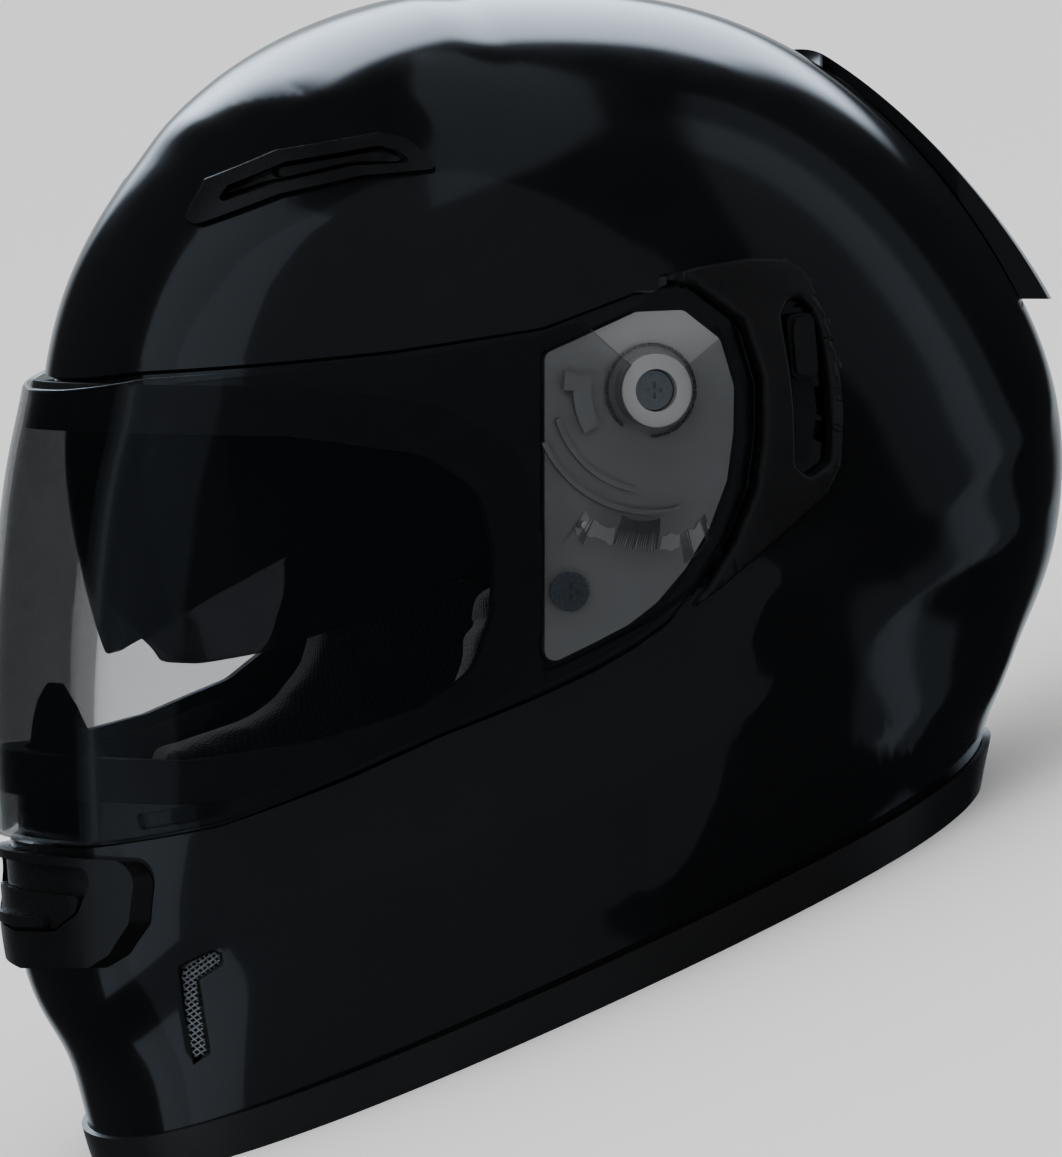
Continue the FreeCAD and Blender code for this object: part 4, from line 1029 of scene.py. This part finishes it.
@dataclass
class Shell:
    """The lacquered shell: eye port, visor bed, side pockets, vent holes and styling creases."""

    wall: float = 4.6
    bed: float = 2.6
    pocket_floor: float = 113.05
    pocket_back: float = 109.5
    seat: float = 4.0
    cell: float = 3.0
    creases: Sequence[Crease] = field(default_factory=lambda: (
        Crease([(-120, -150), (-56, -128), (0, -105), (45, -80), (78, -58), (110, -43), (138, -31)],
               2.8, 9.0, 24.0),
        Crease([(11, -63), (45, -52), (78, -37), (110, -20), (138, -4)], 2.4, 9.0, 20.0, fade=18.0),
        Crease([(-2, -117), (45, -106), (86, -91), (114, -80), (132, -73)], 2.4, 9.0, 18.0, fade=22.0),
        Crease([(-117, 45.6), (-102.5, 65), (-83.5, 84.6), (-53, 98), (-27, 107.5)],
               1.6, 22.0, 12.0, fade=16.0),
    ))

    def relief(self) -> Field:
        """The styling creases, less the visor's bed."""
        bed = Outline(grown(VISOR_EDGE, 1.4), 6.0)
        pod, brow = Outline(POD_EDGE, 2.0), Outline(BROW_EDGE, 2.0)

        def lift(at: Points) -> np.ndarray:
            """The creases, calmed near the fittings, less a ramp down into the bed."""
            styled = sum(crease.lift(at) for crease in self.creases)
            calm = smooth(bed.outside(at), -2.0, 14.0) * smooth(pod.outside(at), -2.0, 12.0)
            calm *= smooth(table_height(at), 12.0, 28.0) * smooth(brow.outside(at), 0.5, 12.0)
            return styled * calm - self.bed * np.clip(bed.inside(at) / 0.6, 0.0, 1.0)

        return lift

    def trim(self) -> Field:
        """What is left of the form once the port, the vent holes and the neck opening are cut."""
        port = Outline(PORT_EDGE, 12.0)
        brow, jaw = Outline(grown(BROW_TRAY, 0.5), 2.0), Outline(JAW_EDGE, 0.8)
        return all_of(
            port.outside,
            lambda at: table_height(at) - self.seat,
            lambda at: np.maximum(brow.outside(at), BROW_INNER - np.abs(at[:, 0])),
            lambda at: np.maximum(jaw.outside(at), 30.0 - np.abs(at[:, 0])),
        )

    def build(self, shop: Workshop) -> bpy.types.Object:
        """Builds the shell."""
        bed = Outline(grown(VISOR_EDGE, 1.4), 6.0)
        pocket = Outline(POCKET_EDGE, 4.0)

        def sink(at: Points, floor: float, out: float) -> Points:
            """Holds what lies well inside the pocket's outline at its floor."""
            held = np.sign(at[:, 0]) * np.minimum(np.abs(at[:, 0]), floor)
            moved = at.copy()
            moved[:, 0] = np.where(pocket.inside(at) > out, held, at[:, 0])
            return moved

        lines = [Line(crease.points).above for crease in self.creases]
        lines += [bed.inside, lambda at: bed.inside(at) - 0.6]
        lines += [pocket.inside, lambda at: pocket.inside(at) - 0.5]
        panel = Panel(SHELL_FORM, self.trim(), 0.0, -self.wall, Stretch(cell=self.cell), 1.2, self.relief(),
                      lines, False, (lambda at: sink(at, self.pocket_floor, 0.45),
                                     lambda at: sink(at, self.pocket_back, -3.0)))
        return panel.build(shop, "shell", Slot.SHELL, "helmet", ["outer_shell"])


@dataclass
class Visor:
    """The clear visor: sheet with rolled edges, pivot rims, ratchet slots and a fold line; its thumb tab is a
    piece of its own.
    """

    wall: float = 2.2
    hole: float = 10.2
    rim: float = 12.4
    slot_from: float = -121.6
    slot_to: float = -67.4

    def trim(self) -> Field:
        """Inside the visor's edge, outside its pivot holes and ratchet slots."""
        edge = Outline(VISOR_EDGE, 7.0)

        def clear_of_slot(at: Points) -> np.ndarray:
            """Distance outside the ratchet slot, whose edge is scalloped by a sine of the angle."""
            angle = np.degrees(np.arctan2(at[:, 2], at[:, 1]))
            over = np.maximum(self.slot_from - angle, angle - self.slot_to)
            scallop = 0.7 * np.sin(np.radians(angle) * 46.0)
            radial = np.abs(np.hypot(at[:, 1], at[:, 2]) - RATCHET) - 1.8 - np.maximum(scallop, 0.0)
            return np.maximum(radial, np.radians(over) * RATCHET)

        return all_of(edge.inside, ring(self.hole), clear_of_slot)

    def relief(self, at: Points) -> np.ndarray:
        """A rim round each pivot, and the line where the side flattens."""
        radius = np.hypot(at[:, 1], at[:, 2])
        rim = 1.1 * (1.0 - smooth(radius, self.rim - 0.5, self.rim + 0.3))
        fold = 0.35 * np.exp(-(((at[:, 1] + 30.6) / 0.7) ** 2)) * smooth(at[:, 2], -95.0, -78.0)
        return rim - fold

    def build(self, shop: Workshop) -> bpy.types.Object:
        """Builds the visor."""
        stretch = Stretch((-89.0, 89.0), (138.0, 398.0), 2.6)
        lines = (ring(self.rim + 0.3), ring(self.rim - 0.5), lambda at: at[:, 1] + 30.0,
                 lambda at: at[:, 1] + 31.2)
        panel = Panel(VISOR_FORM, self.trim(), 0.0, -self.wall, stretch, 1.0, self.relief, lines, False)
        return panel.build(shop, "visor_sheet", Slot.VISOR, "visor", ["visor"])


@dataclass
class VisorTab:
    """The thumb tab at the visor's lower left edge."""

    lift: float = 3.4

    def build(self, shop: Workshop) -> bpy.types.Object:
        """Builds the tab."""
        edge = Outline(TAB_EDGE, 1.0)
        trim = all_of(edge.inside, side_only(Side.LEFT, 30.0))
        panel = Panel(VISOR_FORM, trim, self.lift, 0.05, Stretch((5.0, 70.0), (205.0, 235.0), 0.8), 0.9)
        return panel.build(shop, "visor_thumb_tab", Slot.VISOR, "visor")


@dataclass
class SunShade:
    """The smoked drop-down shade behind the visor, with its nose cut-out."""

    wall: float = 2.4

    def build(self, shop: Workshop) -> bpy.types.Object:
        """Builds the shade."""
        edge, nose = Outline(SHADE_EDGE, 8.0), Outline(NOSE_EDGE, 8.0, View.FRONT)

        def hinge(at: Points) -> np.ndarray:
            """Distance outside the hinge pin's hole."""
            return np.hypot(at[:, 1], at[:, 2] + SHADE_DROP) - 2.5

        trim = all_of(edge.inside, nose.outside, hinge)
        panel = Panel(SHADE_FORM, trim, 0.0, -self.wall, Stretch((-89.0, 89.0), (120.0, 400.0), 2.4), 1.0)
        return panel.build(shop, "sun_shade_sheet", Slot.SHADE, "sun_shade", ["sun_shade"])


@dataclass
class Pods:
    """The covers behind the visor's sides; the left one has the sun shade's slot."""

    outer: float = 2.2
    inner: float = -2.6

    def build(self, shop: Workshop) -> None:
        """Builds both covers."""
        edge, slot = Outline(grown(POD_EDGE, -0.2), 2.0), Outline(SLOT_EDGE, 3.0)
        for side in Side:
            fields = [edge.inside, side_only(side, 40.0)]
            if side is Side.LEFT:
                fields.append(slot.outside)
            across = (40.0, 89.0) if side is Side.LEFT else (-89.0, -40.0)
            panel = Panel(SHELL_FORM, all_of(*fields), self.outer, self.inner,
                          Stretch(across, (-100.0, 100.0), 1.6), 1.3)
            panel.build(shop, f"side_cover_{side.word}", Slot.POD, "helmet", [f"side_pod_{side.word}"])


@dataclass
class WireMesh:
    """Woven wire behind a slot in the shell, as two crossing families of wires.

    A wire runs straight in the side view and takes its X from the shell's form, less its depth. It waves
    over and under its neighbours: X gains wave x cos(pi x run / pitch).
    """

    edge: Sequence[tuple[float, float]]
    depth: float = 2.2
    pitch: float = 1.25
    wire: float = 0.26
    wave: float = 0.22

    def surface(self, plane: Points) -> np.ndarray:
        """X of the wires' middle layer at side-view points: W x (1 - k^n)^(1/n), less the depth."""
        reach = np.hypot(plane[:, 0], plane[:, 1])
        turn = np.mod(np.arctan2(plane[:, 1], plane[:, 0]), 2 * math.pi)
        k = np.clip(reach / SHELL_FORM.radius(turn), 0.0, 0.9999)
        return SHELL_FORM.half_width * (1 - k**Form.POWER) ** (1 / Form.POWER) - self.depth

    def runs(self, angle: float) -> list[Points]:
        """Centrelines of one family of wires, as side-view points a third of a pitch apart."""
        edge = Outline(grown(self.edge, 0.4), 0.5)
        corners = np.array(self.edge, float)
        middle, half = corners.mean(axis=0), np.ptp(corners, axis=0).max()
        ahead = np.array([math.cos(angle), math.sin(angle)])
        aside = np.array([-ahead[1], ahead[0]])
        along = np.arange(-half, half, self.pitch / 3)
        found = []
        for shift in np.arange(-half, half, self.pitch):
            plane = middle + aside * shift + along[:, None] * ahead
            inside = edge.inside(np.column_stack([np.zeros(len(plane)), plane])) > 0
            breaks = np.flatnonzero(np.diff(inside.astype(int))) + 1
            found += [part for part, kept in zip(np.split(plane, breaks), np.split(inside, breaks))
                      if kept[0] and len(part) > 3]
        return found

    def build(self, shop: Workshop, name: str, side: Side, node: str) -> bpy.types.Object:
        """Builds both families as five-sided tubes with closed ends."""
        points, faces = [], []
        turn = np.linspace(0.0, 2 * math.pi, 6)[:-1]
        for family, angle in enumerate((0.75, 0.75 + math.pi / 2)):
            for plane in self.runs(angle):
                steps = np.arange(len(plane))
                lift = self.wave * np.cos(math.pi * steps / 3 + math.pi * family)
                line = np.column_stack([self.surface(plane) + lift, plane])
                aside = np.array([0.0, -math.sin(angle), math.cos(angle)])
                around = (np.cos(turn)[:, None] * np.array([1.0, 0.0, 0.0]) + np.sin(turn)[:, None] * aside)
                tube = line[:, None, :] + self.wire * around[None, :, :]
                base, rows = len(points) and sum(len(part) for part in points), len(plane)
                points.append(tube.reshape(-1, 3))
                row, col = (g.ravel() for g in np.meshgrid(np.arange(rows - 1), np.arange(5), indexing="ij"))
                on = (col + 1) % 5
                quads = np.stack([row * 5 + col, row * 5 + on, (row + 1) * 5 + on, (row + 1) * 5 + col], axis=1)
                faces += (quads + base).tolist()
                last = base + 5 * rows
                faces += [list(range(base + 4, base - 1, -1)), list(range(last - 5, last))]
        whole = np.concatenate(points)
        whole[:, 0] *= side.value
        if side is Side.RIGHT:
            faces = [face[::-1] for face in faces]
        return shop.piece(name, to_row(whole), faces, Slot.MESH, "helmet", [node])


@dataclass
class JawMeshes:
    """The bright wire mesh in the slot at each side of the jaw."""

    def build(self, shop: Workshop) -> None:
        """Builds both meshes."""
        for side in Side:
            WireMesh(JAW_EDGE).build(shop, f"jaw_mesh_{side.word}", side, f"jaw_vent_mesh_{side.word}")


# --- padding and straps --------------------------------------------------------------------------------


@dataclass
class Cushion:
    """A padded piece that starts as its CAD solid and swells under pressure into its cover.

    The solid is remeshed, shrunk a little along its normals, blown up as cloth with its moves capped, and
    smoothed. Sewn seams are then pressed in: each seam's depth is depth x exp(-(distance / width)^2).
    """

    node: str
    slot: Slot
    voxel: float = 0.005
    shrink: float = 0.0008
    cap: float = 0.005
    frames: int = 20
    fill: float = 0.7
    seams: Sequence[Field] = ()
    seam_depth: float = 0.0022
    seam_width: float = 0.0022

    def build(self, shop: Workshop) -> bpy.types.Object:
        """Builds the cushion."""
        source = frame["nodes"][self.node]
        made = source.copy()
        made.data = source.data.copy()
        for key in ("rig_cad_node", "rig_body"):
            if key in made:
                del made[key]
        made.parent = None
        made.matrix_world = Matrix.Identity(4)
        made.name = made.data.name = self.node + "_padding"
        bpy.context.scene.collection.objects.link(made)
        self._weld(made)
        remesh = made.modifiers.new("even", "REMESH")
        remesh.mode, remesh.voxel_size, remesh.use_smooth_shade = "VOXEL", self.voxel, True
        soften = made.modifiers.new("soften", "SMOOTH")
        soften.factor, soften.iterations = 0.5, 3
        self._apply(made)
        self._swell(made)
        subdivide = made.modifiers.new("subdivide", "SUBSURF")
        subdivide.levels = subdivide.render_levels = 1
        self._apply(made)
        self._press_seams(made)
        made.data.materials.clear()
        made.data.materials.append(shop.finishes[self.slot])
        made.data.polygons.foreach_set("use_smooth", np.ones(len(made.data.polygons), bool))
        made.data.update()
        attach(made, "helmet")
        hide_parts(self.node)
        self.slot.word
        LOG.info("padded %s: %d faces", made.name, len(made.data.polygons))
        return made

    @staticmethod
    def _weld(made: bpy.types.Object) -> None:
        """Merges the loose triangles' shared corners."""
        weld = made.modifiers.new("weld", "WELD")
        weld.merge_threshold = 1e-5
        Cushion._apply(made)

    @staticmethod
    def _apply(made: bpy.types.Object) -> None:
        """Puts the modifiers' result into the mesh."""
        graph = bpy.context.evaluated_depsgraph_get()
        graph.update()
        result = bpy.data.meshes.new_from_object(made.evaluated_get(graph))
        made.modifiers.clear()
        made.data = result

    @staticmethod
    def corners(mesh: bpy.types.Mesh) -> Points:
        """A mesh's corners as an array."""
        flat = np.empty(len(mesh.vertices) * 3)
        mesh.vertices.foreach_get("co", flat)
        return flat.reshape(-1, 3)

    @staticmethod
    def facings(mesh: bpy.types.Mesh) -> Points:
        """A mesh's corner normals as an array."""
        flat = np.empty(len(mesh.vertices) * 3, np.float32)
        mesh.vertex_normals.foreach_get("vector", flat)
        return flat.reshape(-1, 3)

    def _swell(self, made: bpy.types.Object) -> None:
        """Blows the cover up as cloth, with each point's move capped."""
        base = self.corners(made.data)
        start = base - self.facings(made.data) * self.shrink
        made.data.vertices.foreach_set("co", start.ravel())
        cloth = made.modifiers.new("swell", "CLOTH")
        settings = cloth.settings
        settings.quality = 4
        settings.use_pressure = True
        settings.uniform_pressure_force = 4.0
        settings.effector_weights.gravity = 0.0
        settings.tension_stiffness = settings.compression_stiffness = 25.0
        scene = bpy.context.scene
        for number in range(1, self.frames + 1):
            scene.frame_set(number)
        self._apply(made)
        scene.frame_set(1)
        moved = self.corners(made.data) - start
        length = np.linalg.norm(moved, axis=1)
        moved *= np.minimum(1.0, self.cap / np.maximum(length, 1e-9))[:, None]
        made.data.vertices.foreach_set("co", (start + 0.55 * moved).ravel())
        made.data.update()

    def _press_seams(self, made: bpy.types.Object) -> None:
        """Presses the sewn seams into the cover."""
        if not self.seams:
            return
        points, facing = self.corners(made.data), self.facings(made.data)
        near = np.minimum.reduce([np.abs(seam(points)) for seam in self.seams])
        depth = self.seam_depth * np.exp(-((near / self.seam_width) ** 2))
        made.data.vertices.foreach_set("co", (points - facing * depth[:, None]).ravel())
        made.data.update()


def row_plane(normal: Sequence[float], offset: float) -> Field:
    """Distance in front of a plane of the row frame, in metres."""
    return lambda at: at @ np.array(normal) - offset


@dataclass
class Lining:
    """All the padding that shows in the neck opening and through the eye port."""

    def build(self, shop: Workshop) -> None:
        """Builds each pad with its own seams."""
        cross = [row_plane((1.0, 0.0, 0.0), side * 0.034) for side in (-1, 1)]
        level = [row_plane((0.0, 0.42, 0.91), height) for height in (0.14, 0.19)]
        Cushion("crown_liner", Slot.LINING, seams=cross + level, cap=0.003).build(shop)
        ribs = [row_plane((1.0, 0.0, 0.0), 0.02 * k) for k in range(-4, 5)]
        Cushion("neck_roll", Slot.LINING, 0.004, seams=ribs, seam_depth=0.0012, cap=0.003).build(shop)
        for side in Side:
            seams = [row_plane((0.0, 1.0, 0.35), 0.005), row_plane((0.0, 0.25, 1.0), 0.062)]
            Cushion(f"cheek_pad_{side.word}", Slot.LINING, 0.0045, seams=seams, cap=0.004).build(shop)
        Cushion("crown_foam", Slot.FOAM, 0.005, shrink=0.0002, cap=0.0004).build(shop)
        Cushion("chin_foam", Slot.FOAM, 0.0045, shrink=0.0002, cap=0.0006).build(shop)


@dataclass
class Strap:
    """Flat webbing along a path in a plane across the helmet, with a rolled edge to its section.

    The path's corners are rounded by arcs of quadratic curves; the section is a superellipse of exponent 8.
    """

    name: str
    node: str
    path: Sequence[tuple[float, float]]
    radius: float
    width: float = 25.0
    thick: float = 2.2

    def line(self) -> Points:
        """The path's points as (X, Z), about a millimetre and a half apart."""
        corners = np.array(self.path, float)
        runs = [corners[:1]]
        for before, corner, after in zip(corners[:-2], corners[1:-1], corners[2:]):
            back, on = before - corner, after - corner
            reach = min(self.radius * 0.6, 0.42 * np.linalg.norm(back), 0.42 * np.linalg.norm(on))
            start = corner + back / np.linalg.norm(back) * reach
            end = corner + on / np.linalg.norm(on) * reach
            t = np.linspace(0.0, 1.0, 12)[:, None]
            runs.append((1 - t) ** 2 * start + 2 * t * (1 - t) * corner + t**2 * end)
        runs.append(corners[-1:])
        rough = np.concatenate(runs)
        along = np.concatenate([[0.0], np.cumsum(np.linalg.norm(np.diff(rough, axis=0), axis=1))])
        even = np.linspace(0.0, along[-1], int(along[-1] / 1.5))
        return np.stack([np.interp(even, along, rough[:, 0]), np.interp(even, along, rough[:, 1])], axis=1)

    def build(self, shop: Workshop) -> bpy.types.Object:
        """Builds the strap and its UV map, in millimetres along and round it."""
        line = self.line()
        ahead = np.gradient(line, axis=0)
        ahead /= np.linalg.norm(ahead, axis=1)[:, None]
        turn = np.linspace(0.0, 2 * math.pi, 41)[:-1]
        over = np.sign(np.cos(turn)) * np.abs(np.cos(turn)) ** 0.25 * self.width / 2
        up = np.sign(np.sin(turn)) * np.abs(np.sin(turn)) ** 0.25 * self.thick / 2
        rows, cols = len(line), len(turn)
        x = line[:, [0]] - ahead[:, [1]] * up[None, :]
        z = line[:, [1]] + ahead[:, [0]] * up[None, :]
        low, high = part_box(self.node)
        y = np.broadcast_to(over + (low[1] + high[1]) / 2 / MM, x.shape)
        points = np.stack([x, y, z], axis=2).reshape(-1, 3)
        row, col = (grid.ravel() for grid in np.meshgrid(np.arange(rows - 1), np.arange(cols), indexing="ij"))
        on = (col + 1) % cols
        quads = np.stack([row * cols + col, row * cols + on, (row + 1) * cols + on,
                          (row + 1) * cols + col], axis=1)
        faces = quads.tolist() + [list(range(cols))[::-1], list(range((rows - 1) * cols, rows * cols))]
        made = shop.piece(self.name, points * MM, faces, Slot.WEBBING, "helmet", [self.node], crease=50.0)
        layer = made.data.uv_layers.new(name="strap")
        index = np.empty(len(made.data.loops), np.int32)
        made.data.loops.foreach_get("vertex_index", index)
        uv = np.stack([(index // cols) * 1.5, over[index % cols]], axis=1)
        layer.data.foreach_set("uv", uv.astype(np.float32).ravel())
        return made


@dataclass
class ChinStrap:
    """The two webbing straps."""

    short: Sequence[tuple[float, float]] = ((94.5, 80), (84, 46), (62, 20), (44.5, 14))
    long: Sequence[tuple[float, float]] = ((-94.5, 80), (-84, 46), (-60, 19), (-20, 8.6), (30, 8.6),
                                           (36.5, 19.5), (26, 22.5), (-34, 16.5))

    def build(self, shop: Workshop) -> None:
        """Builds the straps."""
        Strap("strap_left", "chin_strap_short", self.short, 20.0).build(shop)
        Strap("strap_right", "chin_strap_long", self.long, 14.0).build(shop)


# --- fittings that keep their CAD shape ----------------------------------------------------------------

FITTINGS: dict[Slot, tuple[str, ...]] = {
    Slot.TRIM: ("bottom_edge_trim",),
    Slot.GASKET: ("eye_port_gasket", "breath_guard"),
    Slot.SATIN: ("chin_vent_frame", "chin_vent_flap", "brow_vent_frame_left", "brow_vent_frame_right",
                 "brow_vent_slider_left", "brow_vent_slider_right", "sun_shade_slider", "sun_shade_rail",
                 "cheek_plate_left", "cheek_plate_right", "strap_snap"),
    Slot.SHELL: ("rear_spoiler",),
    Slot.PLATE: ("visor_base_plate_left", "visor_base_plate_right", "release_lever_left",
                 "release_lever_right"),
    Slot.STEEL: ("base_plate_screws_left", "base_plate_screws_right", "base_plate_nuts_left",
                 "base_plate_nuts_right", "release_spring_left", "release_spring_right",
                 "sun_shade_pin_left", "sun_shade_pin_right", "d_ring_lower", "d_ring_upper"),
    Slot.MESH: ("brow_vent_mesh_left", "brow_vent_mesh_right", "rear_exhaust_mesh"),
    Slot.LINING: ("chin_curtain",),
}


# --- studio --------------------------------------------------------------------------------------------


@dataclass(frozen=True)
class WallPanel:
    """A studio wall panel that only mirrored rays see, bounded by planes through the helmet.

    Each bound is a direction and the least share of it that a ray must have.
    """

    glow: float
    bounds: Sequence[tuple[float, float, float, float]]
    edge: float = 0.015


@dataclass(frozen=True)
class SoftBox:
    """A large, even area light over the helmet."""

    place: tuple[float, float, float]
    size: tuple[float, float]
    power: float


@dataclass
class Studio:
    """Camera, floor, background and lights."""

    target: tuple[float, float, float] = (0.0, PIVOT[1] - 0.02486, 0.102)
    distance: float = 4.2
    turn: float = 15.0
    rise: float = 1.7
    lens: float = 503.2
    panels: Sequence[WallPanel] = (
        WallPanel(0.1, ((0.759, -0.625, 0.182, 0.404),)),
        WallPanel(0.28, ((0.0, -1.0, 0.0, 0.27), (-1.0, 0.0, 0.0, -0.2), (1.0, 0.0, 0.0, -0.52),
                        (0.0, 0.0, 1.0, -0.2))),
        WallPanel(0.1, ((0.0, 1.0, 0.0, 0.72), (1.0, 0.0, 0.0, -0.15), (0.0, 0.0, 1.0, -0.75)), 0.03),
        WallPanel(0.2, ((0.0, 1.0, 0.0, 0.72), (1.0, 0.0, 0.0, 0.06), (-1.0, 0.0, 0.0, -0.3)), 0.05),
        WallPanel(3.2, ((-0.81, -0.205, -0.55, -0.02), (0.0, 0.0, 1.0, 0.12), (0.0, 1.0, 0.0, 0.06),
                        (0.0, -1.0, 0.0, -0.72)), 0.06),
        WallPanel(0.2, ((0.0, 0.1, 1.0, 0.84), (0.3, 0.9, 0.0, 0.12), (0.0, -1.0, 0.0, -0.6)), 0.02),
    )
    overhead: SoftBox = SoftBox((0.6, -0.5, 2.6), (2.4, 2.4), 16.0)

    def eye(self) -> Vector:
        """The camera's place."""
        turn, rise = math.radians(self.turn), math.radians(self.rise)
        head = np.array([[math.cos(turn) * math.cos(rise), -math.sin(turn) * math.cos(rise), math.sin(rise)]])
        return Vector(self.target) + Vector(turned(head)[0]) * self.distance

    def camera(self) -> None:
        """A long lens level with the visor's pivot, upright with the worn helmet."""
        data = bpy.data.cameras.new("camera")
        data.lens, data.sensor_width, data.sensor_fit = self.lens, 36.0, "HORIZONTAL"
        data.clip_start, data.clip_end = 0.05, 30.0
        made = bpy.data.objects.new("camera", data)
        back = (self.eye() - Vector(self.target)).normalized()
        up = Vector(turned(np.array([[0.0, 0.0, 1.0]]))[0])
        right = up.cross(back).normalized()
        over = back.cross(right)
        spin = Matrix((right, over, back)).transposed()
        made.matrix_world = Matrix.Translation(self.eye()) @ spin.to_4x4()
        bpy.context.scene.collection.objects.link(made)
        bpy.context.scene.camera = made

    def floor(self) -> None:
        """A plain pale floor under the helmet."""
        size = 60.0
        mesh = bpy.data.meshes.new("floor")
        corners = [(-size, -size, 0), (size, -size, 0), (size, size, 0), (-size, size, 0)]
        mesh.from_pydata(corners, [], [(0, 1, 2, 3)])
        graph = Graph("floor_paint", Roughness=0.9, Specular_IOR_Level=0.1)
        graph.feed("Base Color", graph.between(graph.noise(3.0), (0.93, 0.93, 0.93), (0.95, 0.95, 0.95)))
        mesh.materials.append(graph.material)
        made = bpy.data.objects.new("floor", mesh)
        made.visible_glossy = False
        bpy.context.scene.collection.objects.link(made)

    def world(self) -> None:
        """Pale where the camera sees past the floor, dim in every reflection."""
        world = bpy.data.worlds.new("studio")
        world.use_nodes = True
        tree = world.node_tree

        def shade(strength: float, colour: tuple[float, float, float]) -> Link:
            """An even background."""
            background = tree.nodes.new("ShaderNodeBackground")
            background.inputs["Color"].default_value = (*colour, 1.0)
            background.inputs["Strength"].default_value = strength
            return background.outputs[0]

        def choose(share: Link, first: Link, second: Link) -> Link:
            """The first background where share is 0, the second where it is 1."""
            mix = tree.nodes.new("ShaderNodeMixShader")
            for number, socket in enumerate((share, first, second)):
                tree.links.new(socket, mix.inputs[number])
            return mix.outputs[0]

        path = tree.nodes.new("ShaderNodeLightPath").outputs
        away = (Vector(self.target) - self.eye()).normalized()
        along = tree.nodes.new("ShaderNodeVectorMath")
        along.operation = "DOT_PRODUCT"
        tree.links.new(tree.nodes.new("ShaderNodeTexCoord").outputs["Generated"], along.inputs[0])
        along.inputs[1].default_value = away
        backdrop = tree.nodes.new("ShaderNodeMapRange")
        backdrop.interpolation_type = "SMOOTHSTEP"
        for socket, value in (("From Min", 0.93), ("From Max", 1.0)):
            backdrop.inputs[socket].default_value = value
        tree.links.new(along.outputs["Value"], backdrop.inputs["Value"])
        walls = shade(1.0, (0.72, 0.85, 1.0))
        tree.links.new(self._glow(tree), walls.node.inputs["Strength"])
        mirrored = choose(backdrop.outputs[0], walls, shade(0.5, (0.85, 0.93, 1.0)))
        soft = choose(path["Is Glossy Ray"], shade(1.25, (1.0, 1.0, 1.0)), mirrored)
        seen = choose(path["Is Camera Ray"], soft, shade(1.3, (1.0, 1.0, 1.0)))
        tree.links.new(seen, tree.nodes["World Output"].inputs["Surface"])
        tree.nodes.remove(tree.nodes["Background"])
        bpy.context.scene.world = world

    def _glow(self, tree: bpy.types.NodeTree) -> Link:
        """Adds up the wall panels' glow for a ray: each is its glow times the product of its bounds' ramps."""
        direction = tree.nodes.new("ShaderNodeTexCoord").outputs["Generated"]
        total = None
        for panel in self.panels:
            share = None
            for *normal, least in panel.bounds:
                dot = tree.nodes.new("ShaderNodeVectorMath")
                dot.operation = "DOT_PRODUCT"
                tree.links.new(direction, dot.inputs[0])
                dot.inputs[1].default_value = Vector(normal).normalized()
                ramp = tree.nodes.new("ShaderNodeMapRange")
                ramp.interpolation_type = "SMOOTHSTEP"
                ramp.inputs["From Min"].default_value = least - panel.edge
                ramp.inputs["From Max"].default_value = least + panel.edge
                tree.links.new(dot.outputs["Value"], ramp.inputs["Value"])
                within = ramp.outputs[0]
                share = within if share is None else self._math(tree, "MULTIPLY", share, within)
            lit = self._math(tree, "MULTIPLY", share, panel.glow)
            total = self._math(tree, "ADD", 0.012 if total is None else total, lit)
        return total

    @staticmethod
    def _math(tree: bpy.types.NodeTree, operation: str, first: Link | float, second: Link | float) -> Link:
        """One sum or product of two sockets or numbers."""
        node = tree.nodes.new("ShaderNodeMath")
        node.operation = operation
        for number, value in enumerate((first, second)):
            if isinstance(value, Link):
                tree.links.new(value, node.inputs[number])
            else:
                node.inputs[number].default_value = value
        return node.outputs[0]

    def light(self) -> None:
        """The overhead soft box, which mirrors leave out."""
        data = bpy.data.lights.new("overhead", "AREA")
        data.shape = "RECTANGLE"
        data.size, data.size_y = self.overhead.size
        data.energy = self.overhead.power
        made = bpy.data.objects.new("overhead", data)
        made.location = self.overhead.place
        made.rotation_euler = (-Vector(self.overhead.place)).to_track_quat("-Z", "Y").to_euler()
        made.visible_glossy = False
        bpy.context.scene.collection.objects.link(made)

    def build(self) -> None:
        """Sets the whole studio up."""
        self.camera()
        self.floor()
        self.world()
        self.light()


def main() -> None:
    """Builds every sub-assembly in order."""
    shop = Workshop()
    for slot, nodes in FITTINGS.items():
        for node in nodes:
            shop.dress(node, slot)
    for assembly in (Shell(), Pods(), JawMeshes(), SunShade(), Visor(), VisorTab(), Lining(), ChinStrap()):
        assembly.build(shop)
    Studio().build()


if __name__ == "__main__":
    main()
